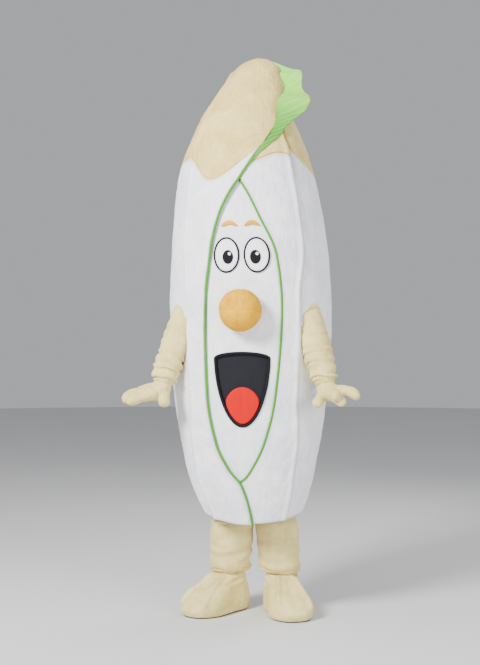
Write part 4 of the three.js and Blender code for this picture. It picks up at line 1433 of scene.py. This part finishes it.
def boot_rings(heights, inset, sides, share=1.0):
    """Level rings of the boot's shape, toes towards -Y, widest over the toes."""
    turn = np.linspace(0, math.tau, sides, endpoint=False)[None, :]
    z = np.asarray(heights, float)[:, None]
    at = np.clip(z, BOOT["sole"], BOOT["top"])
    c, s = np.cos(turn), np.sin(turn)
    forward = c * np.where(c > 0, boot_front(at) - inset, boot_back(at) - inset) * share
    shaft = smooth(at, 105, 155)
    spread = 1 + 0.5 * smooth(forward, 20, 190) * (1 - shaft) - 0.04 * smooth(-forward, 0, 80)
    square = np.sign(s) * np.abs(s) ** np.where(c > 0, mix(0.72, 1.0, shaft), 1.0)
    return np.stack([square * (boot_side(at) * spread - inset) * share, -forward, z + 0 * turn], -1)


def boot_relief(points):
    """Creases of a soft boot: across the ankle, and two ridges from the ankle to the toes."""
    x, forward, z = points[..., 0], -points[..., 1], points[..., 2]
    ankle = 2.6 * np.sin((z + 0.25 * forward) * math.tau / 30 + 0.02 * x)
    ankle = ankle * smooth(z, 95, 125) * smooth(z, 185, 165)
    toes = smooth(forward, 40, 90) * smooth(forward, 240, 215)
    middle = TOE_RIDGE["from_middle"] + TOE_RIDGE["spread"] * forward
    ridges = sum(
        TOE_RIDGE["height"] * np.exp(-(((x - side * middle) / TOE_RIDGE["width"]) ** 2)) for side in (-1, 1)
    )
    valley = -TOE_VALLEY["depth"] * np.exp(-((x / TOE_VALLEY["width"]) ** 2))
    valley = valley * smooth(forward, 70, 120) * smooth(forward, 230, 180)
    return ankle + (ridges * toes + valley) * smooth(z, 28, 60) + 1.2 * ripples(points, 75, 101)


def make_boot(side, sign):
    low, top, floor = BOOT["low"], BOOT["top"], BOOT["floor"]
    heights = np.concatenate([np.linspace(low, 26, 10), np.linspace(29, 135, 78), np.linspace(139, top, 26)])
    roll = 4 * (1 - np.sqrt(np.clip((heights - low) / 10, 0, 1)))
    outer = boot_rings(heights, roll[:, None], 128)
    normals = surface_normals(np.concatenate([outer, outer[:, :1]], 1))[:, :-1]
    normals *= np.sign((normals * (outer - outer.mean(1, keepdims=True))).sum())
    outer = outer + normals * (boot_relief(outer) * smooth(heights, 10, 28)[:, None])[..., None]
    inner = boot_rings(np.linspace(floor, top, 40), BOOT["wall"], 128)
    floor_out = [boot_rings([BOOT["sole"]], 5.5, 128, s)[0] for s in (0.0, 0.5, 1.0)]
    floor_in = [boot_rings([floor], BOOT["wall"], 128, s)[0] for s in (0.5, 0.0)]
    rings = np.concatenate([floor_out, outer, inner[::-1], floor_in])
    turned = on_foot(rings, side, sign)
    piece = make_mesh(f"{side}_boot", turned.reshape(-1, 3), grid_faces(len(rings), 128, wrap=True))
    ready(piece, LIMB, "cream_velour", f"{side}_boot", fill=0.6)
    line = on_foot(outer[BOOT_SEAM_ROW], side, sign)
    points, ways = spaced(np.concatenate([line, line[:1]]), 8)
    middle = line.mean(0)
    points = points + unit((points - middle) * (1, 1, 0)) * 0.6
    ready(beads(f"{side}_boot_stitches", points, ways, 5, 1.3, ELASTIC), ELASTIC, "cream_velour")
    make_sole(side, sign)


def make_sole(side, sign):
    """A thin moulded sole with a ribbed and grooved edge."""
    heights = np.array([0, 0.9, 1.8, 3.2, 4.2, 5.2, 6.6, 7.6, 8])
    pull = np.array([3.0, 0.6, 0, 0, 1.4, 0, 0, 0.6, 2.0])
    ribbed = np.array([0, 1, 1, 1, 0, 1, 1, 1, 0])
    sides = 240
    turn = np.linspace(0, math.tau, sides, endpoint=False)
    rings = []
    for z, inward in zip(heights, pull):
        ring = boot_rings([BOOT["sole"]], 7 + inward, sides)[0]
        ring[:, 2] = z
        rings.append(ring)
    rings = np.stack(rings)
    ribs = 0.5 * (np.sin(turn * 60) > 0)[None, :, None] * ribbed[:, None, None]
    rings[..., :2] -= unit(rings[..., :2]) * ribs
    under = [np.concatenate([rings[0][:, :2] * s, np.zeros((sides, 1))], 1) for s in (0.0, 0.5)]
    level_top = np.full((sides, 1), float(heights[-1]))
    over = [np.concatenate([rings[-1][:, :2] * s, level_top], 1) for s in (0.5, 0.0)]
    rings = np.concatenate([under, rings, over])
    turned = on_foot(rings, side, sign)
    piece = make_mesh(f"{side}_sole", turned.reshape(-1, 3), grid_faces(len(rings), sides, wrap=True))
    ready(piece, RUBBER, "sole_rubber", f"{side}_sole")


def on_foot(points, side, sign):
    """A boot's points, turned about the upright axis and moved to the wearer's foot."""
    turn = math.radians(BOOT_TURN[side])
    c, s = math.cos(turn), math.sin(turn)
    turned = points @ np.array([[c, s, 0], [-s, c, 0], [0, 0, 1]])
    return turned + (LEGS_SHIFT + sign * BOOT["x"], BOOT["y"], 0)


# ---------- back zip ----------


def zip_point(x, z, proud):
    return body_point(180 + np.degrees(x / FACE_RADIUS), z, proud)


ZIP_FOOT_Z = 440
SLIDER_LOW, SLIDER_HIGH = 1722, 1748
PULL_LOW, PULL_HIGH = 1672, 1719


def make_zip():
    across, z = (edged(6, 30, 1) - 0.5)[None, :] * 30, np.linspace(ZIP_FOOT_Z, ZIP_TOP_Z, 160)[:, None]
    tape = padded_panel("back_zip", zip_point(across, z, 1.35), 1.3, 0.8, flat)
    ready(tape, ZIP_TAPE, "zip_tape", "back_zip")
    for name, x in (("zip_teeth_right", 1.3), ("zip_teeth_left", -1.3)):
        z = np.arange(ZIP_FOOT_Z + 12 + x, (SLIDER_LOW + SLIDER_HIGH) / 2, 4.2)
        points = zip_point(np.full_like(z, x), z, 2.9)
        ready(beads(name, points, np.tile((1.0, 0, 0), (len(z), 1)), 5, 2.6, ROD), ROD, "zip_metal")
    z = np.linspace(SLIDER_LOW, SLIDER_HIGH, 30)[:, None]
    turn = np.linspace(0, math.tau, 28, endpoint=False)[None, :]
    share = (z - SLIDER_LOW) / (SLIDER_HIGH - SLIDER_LOW)
    half = 4.5 - 1.6 * smooth(share, 0.35, 0) - 2.2 * (2 * share - 1) ** 8
    deep = 3.0 - 1.2 * (2 * share - 1) ** 6
    x = half * np.sign(np.sin(turn)) * np.abs(np.sin(turn)) ** 0.6
    proud = 6.6 + deep * np.sign(np.cos(turn)) * np.abs(np.cos(turn)) ** 0.6
    ready(tube("zip_slider", zip_point(x, z + 0 * turn, proud)), METAL, "zip_metal", "zip_slider")
    eye_x, eye_z = 1.6 * np.cos(turn) + 0 * z, PULL_LOW + 10 + 5 * np.sin(turn) + 0 * z
    hole = tube("hole_cutter", zip_point(eye_x, eye_z, 0.5 + 10 * share))
    z = np.linspace(PULL_LOW, PULL_HIGH, 30)[:, None]
    across = (edged(6, 6, 1) - 0.5)[None, :] * (6 - 1.2 * smooth(z, 1690, PULL_HIGH))
    pull = padded_panel("zip_pull", zip_point(across, z, 6), 3, 0.9, flat)
    ready(cut(pull, hole), METAL, "zip_metal", "zip_pull")
    bpy.data.objects.remove(hole)


# ---------- floor, light and camera ----------


# Each lamp's name, place, aim, size in metres and power in watts.
LAMPS = (
    ("key", (-2.4, -3.8, 3.6), (0, 0, 1.2), 1.6, 620),
    ("fill", (3.2, -3.4, 1.6), (0, 0, 1.0), 2.6, 150),
    ("rim", (1.8, 2.8, 3.2), (0, 0, 1.4), 1.8, 80),
)
CAMERA = {"turn": 7, "distance": 5.0, "height": 1.150, "aside": 0.0451, "lens": 66.0, "sensor": 36.0}


def make_room():
    world = bpy.data.worlds.new("studio")
    bpy.context.scene.world = world
    world.use_nodes = True
    light = world.node_tree.nodes["Background"].inputs
    light["Color"].default_value, light["Strength"].default_value = (0.72, 0.73, 0.75, 1), 0.62
    bpy.ops.mesh.primitive_circle_add(vertices=96, radius=14, fill_type="NGON")
    floor = bpy.context.object
    floor.name = "floor"
    finish = Finish("pale_floor", (0.62, 0.62, 0.62), 0.8)
    cloud = finish.noise(0.8, 3)
    finish.set("Base Color", finish.blend(cloud, (0.60, 0.60, 0.61), (0.66, 0.66, 0.66)))
    floor.data.materials.append(finish.material)
    for name, place, aim, size, power in LAMPS:
        lamp = bpy.data.lights.new(name, "AREA")
        lamp.shape, lamp.size, lamp.energy = "DISK", size, power
        spot = shown(name, lamp)
        spot.location = place
        spot.rotation_euler = (Vector(aim) - Vector(place)).to_track_quat("-Z", "Y").to_euler()


def make_camera():
    """Five metres off, level with the mouth, seven degrees round to the wearer's left."""
    turn = math.radians(CAMERA["turn"])
    right, ahead = Vector((math.cos(turn), math.sin(turn), 0)), Vector((-math.sin(turn), math.cos(turn), 0))
    place = Vector((AXIS[0], AXIS[1], CAMERA["height"]))
    place = place - right * CAMERA["aside"] - ahead * CAMERA["distance"]
    lens = bpy.data.cameras.new("camera")
    lens.lens, lens.sensor_width = CAMERA["lens"], CAMERA["sensor"]
    camera = shown("camera", lens)
    camera.location = place
    camera.rotation_euler = ahead.to_track_quat("-Z", "Y").to_euler()
    bpy.context.scene.camera = camera


make_room()
make_camera()
make_foam()
make_leaves()
make_hood()
make_edging()
make_frill()
make_face()
for side, sign in SIDES:
    make_sleeve(side, sign)
    make_glove(side, sign)
    make_boot(side, sign)
make_trousers()
make_inside()
make_zip()
for cutter in cutters:
    bpy.data.objects.remove(cutter)
